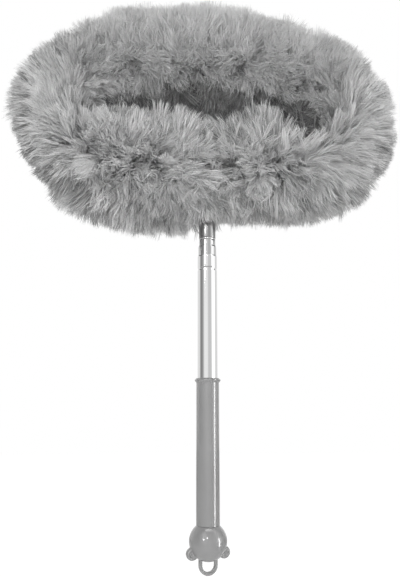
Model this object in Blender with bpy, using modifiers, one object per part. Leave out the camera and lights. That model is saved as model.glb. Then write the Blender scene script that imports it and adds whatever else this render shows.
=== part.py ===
"""Ceiling fan duster: a telescoping steel pole with a moulded grip, and an oval loop of long pile on a knuckle.

Metres, +Z up. The origin is the middle of the grip on the pole's axis, and the front of the loop faces -Y.
The pole is collapsed, and the loop leans back from the pole by REST_LEAN.
"""

import math

import bmesh
import bpy
import numpy as np
from mathutils import Vector

OBJECT_NAME = "ceiling_fan_duster"

# Fits between neighbouring pieces
GAP = 0.0003
RUNNING_GAP = 0.0001

# Facets of round shapes, steps of arcs, and the crease that stays sharp
ROUND_SIDES = 24
SCREW_SIDES = 16
SMALL_SCREW_SIDES = 12
NUT_SIDES = 6
ARC_STEPS = 12
SHARP_ANGLE = math.radians(35)

# Grip and its end
GRIP_LENGTH = 0.131
GRIP_RADIUS = 0.0107
GRIP_RIM_RADIUS = 0.0121
GRIP_RIM_HEIGHT = 0.0045
BALL_RADIUS = 0.01715
BALL_WALL = 0.0018
SPIGOT_LENGTH = 0.010
SPIGOT_WALL = 0.0018
EAR_RADIUS = 0.0055
EAR_THICKNESS = 0.0064
EAR_ROUNDING = 0.00144
EAR_DISH_RADIUS = 0.0036
EAR_DISH_FLOOR_RADIUS = 0.0022
EAR_DISH_DEPTH = 0.0009
EAR_REACH = 0.0178
EAR_DROP_ANGLE = math.radians(33)
EYE_WIDTH = 0.0176
EYE_BAR = 0.0032
EYE_THICKNESS = 0.0040
EYE_BELOW_BALL = 0.0115
EYE_LEG_INSIDE = 0.0035
EYE_EDGE = 0.0005
END_TURN = math.radians(13)

# Telescoping tubes, from the outside in
TUBE_WALL = 0.0004
OUTER_RADIUS = 0.0095
OUTER_SHOWN = 0.1188
TUBE_STEP = 0.00075
MIDDLE_SHOWN = 0.0099
INNER_SHOWN = 0.0059
TUBE_INSET = 0.003
NEST_STEP = 0.012
SPIGOT_CLEARANCE = 0.005
CRIMP_DEPTH = 0.00018
CRIMP_HALF_WIDTH = 0.0015
CRIMP_BELOW_TOP = 0.0136
BUSH_THICKNESS = 0.0007
BUSH_LENGTH = 0.008
BUSH_SLIT = 0.0016
FOOT_LIP = 0.001

# Head stem and knuckle
PLUG_LENGTH = 0.018
FLANGE_RADIUS = 0.00815
FLANGE_HEIGHT = 0.0015
COLLAR_HEIGHT = 0.0170
COLLAR_WALL = 0.00055
SWIVEL_RADIUS = 0.0019
SWIVEL_HEAD_RADIUS = 0.0036
SWIVEL_HEAD_HEIGHT = 0.0020
SWIVEL_TIP_INSIDE_PLUG = 0.001
WASHER_THICKNESS = 0.0006
HOLE_CLEARANCE = 0.0003
PIVOT_ABOVE_COLLAR = 0.0127
FORK_CHEEK_RADIUS = 0.0076
FORK_OUTER_HALF = 0.00815
FORK_SLOT_HALF = 0.0059
FORK_SLOT_FLOOR = 0.0090
FORK_ROUND = 0.0090
PIN_RADIUS = 0.0020
PIN_HEAD_RADIUS = 0.0037
PIN_HEAD_FLAT_RADIUS = 0.0022
PIN_HEAD_EDGE_HEIGHT = 0.0016
PIN_HEAD_HEIGHT = 0.0026
NUT_THICKNESS = 0.0028
TONGUE_HALF = 0.0045
TONGUE_RADIUS = 0.0065
TONGUE_LAP = 0.0012
FRICTION_WASHER_RADIUS = 0.0060

# Loop, measured in its own plane from the knuckle's pin
REST_LEAN = math.radians(15)
WIRE_RISE = 0.046
LOOP_HALF_WIDTH = 0.147
LOOP_HALF_HEIGHT = 0.076
LOOP_END_RADIUS = 0.066
WIRE_RADIUS = 0.0025
WIRE_BEVEL_RESOLUTION = 2
WIRE_END = 0.006
GROOVE_SIDES = 8
GROOVE_ROWS = 4
YOKE_HALF_WIDTH = 0.021
YOKE_HALF_HEIGHT = 0.0084
YOKE_HALF_DEPTH = 0.0080
YOKE_SCREW_X = 0.013
YOKE_SCREW_RISE = 0.0056
YOKE_SCREW_RADIUS = 0.00125
YOKE_SCREW_HEAD_RADIUS = 0.0022
YOKE_SCREW_HEAD_HEIGHT = 0.0018
YOKE_SCREW_LENGTH = 0.0110

# Foam core and the pile sleeve, cut into slices round the loop
FOAM_RADIUS = 0.0125
BACKING_RADIUS = 0.026
PILE_OUTWARD = 0.0645
PILE_INWARD = 0.050
PILE_SIDES = 10
SLICE_COUNT = 14
ROWS_IN_SLICE = 3
SLICE_GAP = 0.0005
LOCK_DROOP = 0.004
LOCK_LENGTH_SPREAD = 0.0035
LOCK_SIDE_SPREAD = 0.0016
LOCK_SEED = 7

# Levels that follow from the sizes above
GRIP_TOP = GRIP_LENGTH / 2
GRIP_BOTTOM = -GRIP_TOP
OUTER_BORE = OUTER_RADIUS - TUBE_WALL
MIDDLE_RADIUS = OUTER_RADIUS - TUBE_STEP
MIDDLE_BORE = MIDDLE_RADIUS - TUBE_WALL
INNER_RADIUS = MIDDLE_RADIUS - TUBE_STEP
INNER_BORE = INNER_RADIUS - TUBE_WALL
OUTER_TOP = GRIP_TOP + OUTER_SHOWN
MIDDLE_TOP = OUTER_TOP + MIDDLE_SHOWN
INNER_TOP = MIDDLE_TOP + INNER_SHOWN
OUTER_BOTTOM = GRIP_BOTTOM + TUBE_INSET
SPIGOT_TOP = GRIP_BOTTOM + SPIGOT_LENGTH
MIDDLE_BOTTOM = SPIGOT_TOP + SPIGOT_CLEARANCE
INNER_BOTTOM = MIDDLE_BOTTOM + NEST_STEP
FLANGE_TOP = INNER_TOP + GAP + FLANGE_HEIGHT
COLLAR_BOTTOM = FLANGE_TOP + GAP
COLLAR_TOP = COLLAR_BOTTOM + COLLAR_HEIGHT
PIVOT_HEIGHT = COLLAR_TOP + PIVOT_ABOVE_COLLAR
BALL_CENTRE = GRIP_BOTTOM - GAP - math.sqrt(BALL_RADIUS**2 - GRIP_RADIUS**2)
LOOP_CENTRE_RISE = WIRE_RISE + LOOP_HALF_HEIGHT

# The loop is an oval of four arcs: two long ones above and below, and two round ends
END_CENTRE_X = LOOP_HALF_WIDTH - LOOP_END_RADIUS
LOOP_LONG_RADIUS = (END_CENTRE_X**2 + LOOP_HALF_HEIGHT**2 - LOOP_END_RADIUS**2) / (
    2 * (LOOP_HALF_HEIGHT - LOOP_END_RADIUS)
)
LONG_CENTRE_Z = LOOP_LONG_RADIUS - LOOP_HALF_HEIGHT
LONG_ARC_ANGLE = math.atan2(END_CENTRE_X, LONG_CENTRE_Z)
END_ARC_ANGLE = math.pi - 2 * LONG_ARC_ANGLE
LOOP_LENGTH = 4 * LONG_ARC_ANGLE * LOOP_LONG_RADIUS + 2 * END_ARC_ANGLE * LOOP_END_RADIUS
SLICE_LENGTH = LOOP_LENGTH / SLICE_COUNT
ROW_LENGTH = SLICE_LENGTH / ROWS_IN_SLICE

# Linear base colours, roughness and metallic value of each finish
FINISHES = {
    "grey_plastic": ((0.30, 0.30, 0.30), 0.22, 0.0),
    "dark_plastic": ((0.06, 0.06, 0.06), 0.45, 0.0),
    "nylon": ((0.70, 0.69, 0.66), 0.50, 0.0),
    "polished_steel": ((0.72, 0.72, 0.72), 0.12, 1.0),
    "zinc_steel": ((0.55, 0.56, 0.57), 0.35, 1.0),
    "foam": ((0.45, 0.45, 0.45), 0.95, 0.0),
    "pile": ((0.36, 0.36, 0.36), 0.80, 0.0),
}


# Scene, materials and small helpers


def start_scene():
    """Empties the scene and returns the collections for the parts and for their cutters."""
    for obj in list(bpy.data.objects):
        bpy.data.objects.remove(obj, do_unlink=True)
    parts = bpy.data.collections.new(OBJECT_NAME)
    cutters = bpy.data.collections.new(OBJECT_NAME + "_cutters")
    for collection in (parts, cutters):
        bpy.context.scene.collection.children.link(collection)
    return parts, cutters


PARTS, CUTTERS = start_scene()


def material(name, finish):
    colour, roughness, metallic = FINISHES[finish]
    made = bpy.data.materials.new(name)
    made.use_nodes = True
    shader = made.node_tree.nodes["Principled BSDF"]
    shader.inputs["Base Color"].default_value = (*colour, 1.0)
    shader.inputs["Roughness"].default_value = roughness
    shader.inputs["Metallic"].default_value = metallic
    made.diffuse_color = (*colour, 1.0)
    return made


def add_part(name, mesh, finish, parent=None):
    """Links a mesh as a named part, with its own material and smooth round faces."""
    mesh.name = name
    mesh.materials.clear()
    mesh.materials.append(material(name, finish))
    mesh.shade_smooth()
    mesh.set_sharp_from_angle(angle=SHARP_ANGLE)
    obj = bpy.data.objects.new(name, mesh)
    PARTS.objects.link(obj)
    obj.parent = parent
    return obj


def add_cutter(name, mesh, parent=None):
    obj = bpy.data.objects.new(name, mesh)
    CUTTERS.objects.link(obj)
    obj.parent = parent
    obj.hide_render = True
    obj.display_type = "WIRE"
    return obj


def boolean(obj, other, operation):
    change = obj.modifiers.new(other.name, "BOOLEAN")
    change.operation = operation
    change.object = other
    change.solver = "EXACT"


def cut(obj, *cutters):
    for cutter in cutters:
        boolean(obj, cutter, "DIFFERENCE")


def join(obj, *others):
    for other in others:
        boolean(obj, other, "UNION")


def empty(name, location, parent=None):
    obj = bpy.data.objects.new(name, None)
    obj.location = location
    obj.empty_display_size = 0.02
    obj.parent = parent
    PARTS.objects.link(obj)
    return obj


def mesh_from(bm, name="shape"):
    """Closes a bmesh into a mesh with its faces pointing out."""
    bm.normal_update()
    bmesh.ops.recalc_face_normals(bm, faces=bm.faces)
    if bm.calc_volume(signed=True) < 0:
        bmesh.ops.reverse_faces(bm, faces=bm.faces)
    mesh = bpy.data.meshes.new(name)
    bm.to_mesh(mesh)
    bm.free()
    return mesh


def evaluated_mesh(obj):
    """The object's mesh with its modifiers or curve applied and its caps welded; the object is removed."""
    bpy.context.view_layer.update()
    ready = obj.evaluated_get(bpy.context.evaluated_depsgraph_get())
    mesh = bpy.data.meshes.new_from_object(ready)
    mesh.transform(obj.matrix_world)
    bpy.data.objects.remove(obj, do_unlink=True)
    bm = bmesh.new()
    bm.from_mesh(mesh)
    bmesh.ops.remove_doubles(bm, verts=bm.verts, dist=1e-6)
    return mesh_from(bm)


# Basic shapes


def turned(profile, closed=True, sides=ROUND_SIDES):
    """Turns (radius, height) points about Z. The points run down the outer side first."""
    count = len(profile)
    edges = [(i, i + 1) for i in range(count - 1)]
    if closed:
        edges.append((count - 1, 0))
    mesh = bpy.data.meshes.new("profile")
    mesh.from_pydata([(radius, 0.0, height) for radius, height in profile], edges, [])
    obj = bpy.data.objects.new("profile", mesh)
    PARTS.objects.link(obj)
    screw = obj.modifiers.new("turn", "SCREW")
    screw.axis = "Z"
    screw.angle = math.tau
    screw.steps = sides
    screw.render_steps = sides
    screw.use_merge_vertices = True
    screw.merge_threshold = 1e-6
    return evaluated_mesh(obj)


def tube(outer, inner, bottom, top, sides=ROUND_SIDES):
    return turned([(outer, top), (outer, bottom), (inner, bottom), (inner, top)], sides=sides)


def rod(radius, start, end, sides=ROUND_SIDES):
    """A capped cylinder between two points."""
    start, end = Vector(start), Vector(end)
    along = end - start
    bm = bmesh.new()
    bmesh.ops.create_cone(
        bm, cap_ends=True, segments=sides, radius1=radius, radius2=radius, depth=along.length
    )
    turn = along.to_track_quat("Z", "Y").to_matrix().to_4x4()
    turn.translation = (start + end) / 2
    bm.transform(turn)
    return mesh_from(bm)


def block(low, high):
    """A box between two corners."""
    low, high = Vector(low), Vector(high)
    bm = bmesh.new()
    bmesh.ops.create_cube(bm, size=1.0)
    bmesh.ops.scale(bm, vec=high - low, verts=bm.verts)
    bmesh.ops.translate(bm, vec=(low + high) / 2, verts=bm.verts)
    return mesh_from(bm)


def arc(centre_a, centre_b, radius, start, end):
    """Points on an arc from angle start to end, both ends included."""
    angles = [start + (end - start) * i / ARC_STEPS for i in range(ARC_STEPS + 1)]
    return [
        (centre_a + radius * math.cos(angle), centre_b + radius * math.sin(angle))
        for angle in angles
    ]


def plate(outline, thickness, rotation, edge=0.0):
    """A flat outline of (a, b) points made thickness thick, turned by rotation."""
    curve = bpy.data.curves.new("outline", "CURVE")
    curve.dimensions = "2D"
    curve.fill_mode = "BOTH"
    curve.extrude = thickness / 2 - edge
    curve.bevel_depth = edge
    curve.bevel_resolution = 1
    curve.offset = -edge
    spline = curve.splines.new("POLY")
    spline.points.add(len(outline) - 1)
    for point, (a, b) in zip(spline.points, outline, strict=True):
        point.co = (a, b, 0.0, 1.0)
    spline.use_cyclic_u = True
    obj = bpy.data.objects.new("outline", curve)
    PARTS.objects.link(obj)
    obj.rotation_euler = rotation
    return evaluated_mesh(obj)


FACING_FRONT = (math.radians(90), 0.0, 0.0)
FACING_SIDE = (math.radians(90), 0.0, math.radians(90))


# Grip, end ball and hanging eye


def grip_sleeve():
    """Plastic sleeve over the outer tube, with a flared rim at its top."""
    bore = OUTER_RADIUS + GAP
    rim_bottom = GRIP_TOP - GRIP_RIM_HEIGHT
    fillet = (GRIP_RIM_RADIUS - GRIP_RADIUS) / 2
    profile = [
        (GRIP_RIM_RADIUS - fillet, GRIP_TOP),
        (GRIP_RIM_RADIUS, GRIP_TOP - fillet),
        (GRIP_RIM_RADIUS, rim_bottom + fillet),
        (GRIP_RADIUS, rim_bottom - fillet),
        (GRIP_RADIUS, GRIP_BOTTOM),
        (bore, GRIP_BOTTOM),
        (bore, GRIP_TOP),
    ]
    return add_part("grip_sleeve", turned(profile), "grey_plastic")


def end_ball(parent):
    """Hollow ball with a spigot inside the outer tube, two round lugs and two slots for the eye."""
    inside = BALL_RADIUS - BALL_WALL
    spigot = OUTER_BORE - GAP
    spigot_bore = spigot - SPIGOT_WALL
    shoulder = math.asin((GRIP_BOTTOM - GAP - BALL_CENTRE) / BALL_RADIUS)
    inner_start = math.acos(spigot_bore / inside)
    profile = [(0.0, BALL_CENTRE - inside)]
    profile += arc(0.0, BALL_CENTRE, inside, -math.pi / 2, inner_start)[1:]
    profile += [(spigot_bore, SPIGOT_TOP), (spigot, SPIGOT_TOP), (spigot, GRIP_BOTTOM - GAP)]
    profile += arc(0.0, BALL_CENTRE, BALL_RADIUS, shoulder, -math.pi / 2)[:-1]
    profile += [(0.0, BALL_CENTRE - BALL_RADIUS)]
    ball = add_part("end_ball", turned(profile, closed=False), "grey_plastic", parent)
    half = EAR_THICKNESS / 2
    front_half = [
        (0.0, half - EAR_DISH_DEPTH),
        (EAR_DISH_FLOOR_RADIUS, half - EAR_DISH_DEPTH),
        (EAR_DISH_RADIUS, half),
        (EAR_RADIUS - EAR_ROUNDING, half),
        (EAR_RADIUS, half - EAR_ROUNDING),
    ]
    back_half = [(radius, -depth) for radius, depth in reversed(front_half)]
    for name, side in (("ear_left", -1), ("ear_right", 1)):
        lug = turned(front_half + back_half, closed=False, sides=SCREW_SIDES)
        ear = add_cutter(name, lug, parent)
        ear.rotation_euler = FACING_FRONT
        ear.location = (
            side * EAR_REACH * math.cos(EAR_DROP_ANGLE),
            0.0,
            BALL_CENTRE - EAR_REACH * math.sin(EAR_DROP_ANGLE),
        )
        join(ball, ear)
    leg_x = (EYE_WIDTH - EYE_BAR) / 2
    for name, side in (("eye_slot_left", -1), ("eye_slot_right", 1)):
        slot = block(
            (side * leg_x - EYE_BAR / 2 - GAP, -EYE_THICKNESS / 2 - GAP, BALL_CENTRE - BALL_RADIUS),
            (side * leg_x + EYE_BAR / 2 + GAP, EYE_THICKNESS / 2 + GAP, BALL_CENTRE - inside / 2),
        )
        cut(ball, add_cutter(name, slot, parent))
    return ball


def hanging_eye(parent):
    """U-shaped eye whose two legs snap into the ball."""
    outer = EYE_WIDTH / 2
    inner = outer - EYE_BAR
    bottom = BALL_CENTRE - BALL_RADIUS - EYE_BELOW_BALL
    bend = bottom + outer
    leg_x = outer - EYE_BAR / 2
    inside = BALL_RADIUS - BALL_WALL
    top = BALL_CENTRE - math.sqrt(inside**2 - leg_x**2) + EYE_LEG_INSIDE
    outline = [(-outer, top)] + arc(0.0, bend, outer, math.pi, math.tau) + [(outer, top)]
    outline += [(inner, top)] + arc(0.0, bend, inner, math.tau, math.pi) + [(-inner, top)]
    mesh = plate(outline, EYE_THICKNESS, FACING_FRONT, EYE_EDGE)
    return add_part("hanging_eye", mesh, "grey_plastic", parent)


# Telescoping pole


def outer_tube():
    """Steel tube fixed in the grip, with a rolled groove whose bead holds the middle tube's bush."""
    crimp = OUTER_TOP - CRIMP_BELOW_TOP
    half, flat = CRIMP_HALF_WIDTH, CRIMP_HALF_WIDTH / 3
    groove = OUTER_RADIUS - CRIMP_DEPTH
    bead = OUTER_BORE - CRIMP_DEPTH
    profile = [
        (OUTER_RADIUS - TUBE_WALL / 2, OUTER_TOP),
        (OUTER_RADIUS, OUTER_TOP - TUBE_WALL),
        (OUTER_RADIUS, crimp + half),
        (groove, crimp + flat),
        (groove, crimp - flat),
        (OUTER_RADIUS, crimp - half),
        (OUTER_RADIUS, OUTER_BOTTOM),
        (OUTER_BORE, OUTER_BOTTOM),
        (OUTER_BORE, crimp - half),
        (bead, crimp - flat),
        (bead, crimp + flat),
        (OUTER_BORE, crimp + half),
        (OUTER_BORE, OUTER_TOP),
    ]
    return add_part("outer_tube", turned(profile), "polished_steel")


def sliding_tube(name, radius, bottom, top, around_bore, rolled_lip, parent):
    """Steel tube with a necked foot that carries its bush, and a rolled lip at the top if it holds another."""
    bore = radius - TUBE_WALL
    foot = around_bore - RUNNING_GAP
    neck = foot - BUSH_THICKNESS - RUNNING_GAP
    neck_bore = neck - TUBE_WALL
    neck_top = bottom + FOOT_LIP + BUSH_LENGTH + 2 * GAP
    slope = radius - neck
    profile = [
        (radius - TUBE_WALL / 2, top),
        (radius, top - TUBE_WALL),
        (radius, neck_top + slope),
        (neck, neck_top),
        (neck, bottom + FOOT_LIP),
        (foot, bottom + FOOT_LIP),
        (foot, bottom),
        (neck_bore, bottom),
        (neck_bore, neck_top),
        (bore, neck_top + slope),
    ]
    if rolled_lip:
        lip = bore - CRIMP_DEPTH
        profile += [(bore, top - CRIMP_HALF_WIDTH), (lip, top - CRIMP_HALF_WIDTH / 2), (lip, top)]
    else:
        profile += [(bore, top)]
    return add_part(name, turned(profile), "polished_steel", parent)


def friction_bush(name, bottom, around_bore, parent):
    """Slit nylon bush on the foot of a sliding tube, which rubs in the tube around it."""
    outer = around_bore - RUNNING_GAP
    low = bottom + FOOT_LIP + GAP
    ring = tube(outer, outer - BUSH_THICKNESS, low, low + BUSH_LENGTH)
    bush = add_part(name, ring, "nylon", parent)
    slit = block(
        (0.0, -BUSH_SLIT / 2, low - GAP),
        (outer + BUSH_THICKNESS, BUSH_SLIT / 2, low + BUSH_LENGTH + GAP),
    )
    cut(bush, add_cutter(name + "_slit", slit, parent))
    return bush


def inner_plug(parent):
    """Steel plug in the top of the inner tube, whose flange carries the head."""
    body = INNER_BORE - GAP
    hole = SWIVEL_RADIUS + HOLE_CLEARANCE
    profile = [
        (FLANGE_RADIUS - GAP, FLANGE_TOP),
        (FLANGE_RADIUS, FLANGE_TOP - GAP),
        (FLANGE_RADIUS, INNER_TOP + GAP),
        (body, INNER_TOP + GAP),
        (body, INNER_TOP - PLUG_LENGTH),
        (hole, INNER_TOP - PLUG_LENGTH),
        (hole, FLANGE_TOP),
    ]
    return add_part("inner_plug", turned(profile), "zinc_steel", parent)


# Head stem and knuckle


def stem_collar(parent):
    outer = FLANGE_RADIUS
    collar = tube(outer, outer - COLLAR_WALL, COLLAR_BOTTOM, COLLAR_TOP)
    return add_part("stem_collar", collar, "polished_steel", parent)


def swivel_screw(parent):
    """Screw down the stem's axis, on which the head turns in the plug."""
    seat = fork_slot_floor() - SWIVEL_HEAD_HEIGHT
    tip = INNER_TOP - PLUG_LENGTH + SWIVEL_TIP_INSIDE_PLUG
    profile = [
        (0.0, seat + SWIVEL_HEAD_HEIGHT - GAP),
        (SWIVEL_HEAD_RADIUS, seat + SWIVEL_HEAD_HEIGHT - GAP),
        (SWIVEL_HEAD_RADIUS, seat + GAP),
        (SWIVEL_RADIUS, seat + GAP),
        (SWIVEL_RADIUS, tip + SWIVEL_RADIUS),
        (SWIVEL_RADIUS / 2, tip),
        (0.0, tip),
    ]
    mesh = turned(profile, closed=False, sides=SCREW_SIDES)
    return add_part("swivel_screw", mesh, "zinc_steel", parent)


def swivel_washer(parent):
    hole = SWIVEL_RADIUS + HOLE_CLEARANCE
    outer = FLANGE_RADIUS - COLLAR_WALL - 2 * GAP
    washer = tube(outer, hole, COLLAR_BOTTOM, COLLAR_BOTTOM + WASHER_THICKNESS)
    return add_part("swivel_washer", washer, "nylon", parent)


def fork_slot_floor():
    return PIVOT_HEIGHT - FORK_SLOT_FLOOR


def knuckle_fork(parent):
    """Two cheeks for the tongue, on a shank inside the collar."""
    shank = FLANGE_RADIUS - COLLAR_WALL - GAP
    shank_bottom = COLLAR_BOTTOM + WASHER_THICKNESS + GAP
    base = COLLAR_TOP + GAP
    outline = [(-FORK_CHEEK_RADIUS, base), (FORK_CHEEK_RADIUS, base)]
    outline += arc(0.0, PIVOT_HEIGHT, FORK_CHEEK_RADIUS, 0.0, math.pi)
    fork = add_part(
        "knuckle_fork", plate(outline, 2 * FORK_OUTER_HALF, FACING_SIDE), "dark_plastic", parent
    )
    top = PIVOT_HEIGHT + 2 * FORK_CHEEK_RADIUS
    boolean(
        fork,
        add_cutter("fork_round", rod(FORK_ROUND, (0, 0, base - GAP), (0, 0, top)), parent),
        "INTERSECT",
    )
    join(
        fork,
        add_cutter(
            "fork_shank", rod(shank, (0, 0, shank_bottom), (0, 0, fork_slot_floor() - GAP)), parent
        ),
    )
    slot = block(
        (-FORK_SLOT_HALF, -2 * FORK_ROUND, fork_slot_floor()), (FORK_SLOT_HALF, 2 * FORK_ROUND, top)
    )
    reach = 2 * FORK_ROUND
    start, end = (-reach, 0, PIVOT_HEIGHT), (reach, 0, PIVOT_HEIGHT)
    pin_hole = rod(PIN_RADIUS + HOLE_CLEARANCE, start, end, SCREW_SIDES)
    seat = fork_slot_floor() - SWIVEL_HEAD_HEIGHT
    screw_hole = turned(
        [
            (0.0, fork_slot_floor() + GAP),
            (SWIVEL_HEAD_RADIUS + HOLE_CLEARANCE, fork_slot_floor() + GAP),
            (SWIVEL_HEAD_RADIUS + HOLE_CLEARANCE, seat),
            (SWIVEL_RADIUS + HOLE_CLEARANCE, seat),
            (SWIVEL_RADIUS + HOLE_CLEARANCE, shank_bottom - GAP),
            (0.0, shank_bottom - GAP),
        ],
        closed=False,
        sides=SCREW_SIDES,
    )
    cut(
        fork,
        add_cutter("fork_slot", slot, parent),
        add_cutter("fork_pin_hole", pin_hole, parent),
        add_cutter("fork_screw_hole", screw_hole, parent),
    )
    return fork


def knuckle_screw(parent):
    """Screw across the knuckle, the axis on which the head tilts. Its head is on the right."""
    seat = FORK_OUTER_HALF + GAP
    profile = [
        (0.0, seat + PIN_HEAD_HEIGHT),
        (PIN_HEAD_FLAT_RADIUS, seat + PIN_HEAD_HEIGHT),
        (PIN_HEAD_RADIUS, seat + PIN_HEAD_EDGE_HEIGHT),
        (PIN_HEAD_RADIUS, seat),
        (PIN_RADIUS, seat),
        (PIN_RADIUS, -seat - NUT_THICKNESS),
        (0.0, -seat - NUT_THICKNESS),
    ]
    mesh = turned(profile, closed=False, sides=SCREW_SIDES)
    screw = add_part("knuckle_screw", mesh, "zinc_steel", parent)
    screw.location = (0.0, 0.0, PIVOT_HEIGHT)
    screw.rotation_euler = (0.0, math.radians(90), 0.0)
    return screw


def knuckle_nut(parent):
    seat = -FORK_OUTER_HALF - GAP
    start, end = (seat - NUT_THICKNESS, 0, PIVOT_HEIGHT), (seat, 0, PIVOT_HEIGHT)
    nut = add_part("knuckle_nut", rod(PIN_HEAD_RADIUS, start, end, NUT_SIDES), "zinc_steel", parent)
    start, end = (-2 * FORK_ROUND, 0, PIVOT_HEIGHT), (0, 0, PIVOT_HEIGHT)
    bore = rod(PIN_RADIUS + HOLE_CLEARANCE, start, end, SCREW_SIDES)
    cut(nut, add_cutter("nut_bore", bore, parent))
    return nut


def friction_washer(name, side, parent):
    """Nylon washer between the tongue and a cheek of the fork."""
    inner_face, outer_face = TONGUE_HALF + GAP, FORK_SLOT_HALF - GAP
    hole = PIN_RADIUS + HOLE_CLEARANCE
    washer = tube(FRICTION_WASHER_RADIUS, hole, inner_face, outer_face, SCREW_SIDES)
    obj = add_part(name, washer, "nylon", parent)
    obj.location = (0.0, 0.0, PIVOT_HEIGHT)
    obj.rotation_euler = (0.0, side * math.radians(90), 0.0)
    return obj


# The loop's path, in its own plane: X across, Z up the loop, Y towards the back


def loop_frame(distance):
    """Place on the loop at a distance along it from the neck, turning to the right, and its outward normal."""
    outward = 0.0
    left = distance % LOOP_LENGTH
    for span, radius, centre_x, centre_z in (
        (LONG_ARC_ANGLE, LOOP_LONG_RADIUS, 0.0, LONG_CENTRE_Z),
        (END_ARC_ANGLE, LOOP_END_RADIUS, END_CENTRE_X, 0.0),
        (2 * LONG_ARC_ANGLE, LOOP_LONG_RADIUS, 0.0, -LONG_CENTRE_Z),
        (END_ARC_ANGLE, LOOP_END_RADIUS, -END_CENTRE_X, 0.0),
        (LONG_ARC_ANGLE, LOOP_LONG_RADIUS, 0.0, LONG_CENTRE_Z),
    ):
        if left <= span * radius:
            break
        left -= span * radius
        outward += span
    outward += min(left / radius, span)
    normal = Vector((math.sin(outward), 0.0, -math.cos(outward)))
    middle = Vector((centre_x, 0.0, LOOP_CENTRE_RISE + centre_z))
    return middle + radius * normal, normal


def straight_sleeve(radius, rows, sides):
    """An open cylinder on Z, one unit a row, as vertices and faces to be bent round the loop."""
    bm = bmesh.new()
    bmesh.ops.create_cone(
        bm, cap_ends=False, segments=sides, radius1=radius, radius2=radius, depth=rows
    )
    upright = [e for e in bm.edges if abs(e.verts[0].co.z - e.verts[1].co.z) > 0.5 * rows]
    if rows > 1:
        bmesh.ops.subdivide_edges(bm, edges=upright, cuts=rows - 1, use_grid_fill=True)
    bmesh.ops.translate(bm, vec=(0.0, 0.0, rows / 2), verts=bm.verts)
    return bm


def bend_round_loop(bm, stations):
    """Carries a straight sleeve to the loop: row k's ring goes to the distance stations[k]."""
    last = len(stations) - 1
    for vert in bm.verts:
        row = min(max(int(math.floor(vert.co.z + 1e-6)), 0), last - 1)
        share = vert.co.z - row
        distance = stations[row] * (1 - share) + stations[row + 1] * share
        place, normal = loop_frame(distance)
        vert.co = place + vert.co.x * normal + vert.co.y * Vector((0.0, 1.0, 0.0))


def close_sleeve(bm, radius, bore, rows):
    """Turns a straight sleeve's lower rim inwards and up through it as the bore, out to the upper rim."""
    rim = [e for e in bm.edges if e.is_boundary and max(v.co.z for v in e.verts) < 0.5]
    inwards, outwards, upwards = (bore / radius, 0.0), (radius / bore, 0.0), (1.0, 1.0)
    for scale, rise in [inwards] + [upwards] * rows + [outwards]:
        made = bmesh.ops.extrude_edge_only(bm, edges=rim)["geom"]
        rim = [e for e in made if isinstance(e, bmesh.types.BMEdge) and e.is_boundary]
        for vert in {v for e in rim for v in e.verts}:
            vert.co = (vert.co.x * scale, vert.co.y * scale, vert.co.z + rise)
    bmesh.ops.remove_doubles(bm, verts=bm.verts, dist=1e-6)


def loop_rod(radius, start, end, rows, sides):
    """A capped bar that follows the loop between two distances."""
    bm = straight_sleeve(radius, rows, sides)
    bmesh.ops.holes_fill(bm, edges=[e for e in bm.edges if e.is_boundary], sides=sides)
    bend_round_loop(bm, [start + (end - start) * k / rows for k in range(rows + 1)])
    return mesh_from(bm)


def row_stations(first, last):
    """Distances of the row ends that lie between two distances, with those two at the ends."""
    between = [
        SLICE_LENGTH / 2 + ROW_LENGTH * k
        for k in range(-1, ROWS_IN_SLICE * SLICE_COUNT)
        if first + GAP < SLICE_LENGTH / 2 + ROW_LENGTH * k < last - GAP
    ]
    return [first, *between, last]


# Yoke, wire and foam


def yoke_tongue_outline(top):
    outline = [(TONGUE_RADIUS, top), (-TONGUE_RADIUS, top)]
    return outline + arc(0.0, 0.0, TONGUE_RADIUS, math.pi, math.tau)


def wire_groove_cutters(parent):
    """Room for the two ends of the wire in the clamp's halves."""
    cutters = []
    reach = YOKE_HALF_WIDTH + 2 * GAP
    for name, side in (("groove_left", -1), ("groove_right", 1)):
        start, end = sorted((side * (WIRE_END - GAP), side * reach))
        mesh = loop_rod(WIRE_RADIUS + GAP, start, end, GROOVE_ROWS, GROOVE_SIDES)
        cutters.append(add_cutter(name, mesh, parent))
    return cutters


def yoke_screw_cutters(parent):
    cutters = []
    seat = -YOKE_HALF_DEPTH + YOKE_SCREW_HEAD_HEIGHT + GAP
    hole, head_hole = YOKE_SCREW_RADIUS + HOLE_CLEARANCE, YOKE_SCREW_HEAD_RADIUS + HOLE_CLEARANCE
    for name, side in (("screw_hole_left", -1), ("screw_hole_right", 1)):
        x, z = side * YOKE_SCREW_X, WIRE_RISE + YOKE_SCREW_RISE
        mouth, middle, end = (x, -2 * YOKE_HALF_DEPTH, z), (x, seat, z), (x, seat + YOKE_SCREW_LENGTH, z)
        shank = rod(hole, mouth, end, SMALL_SCREW_SIDES)
        head = rod(head_hole, mouth, middle, SMALL_SCREW_SIDES)
        cutters += [add_cutter(name, shank, parent), add_cutter(name + "_head", head, parent)]
    return cutters


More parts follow.
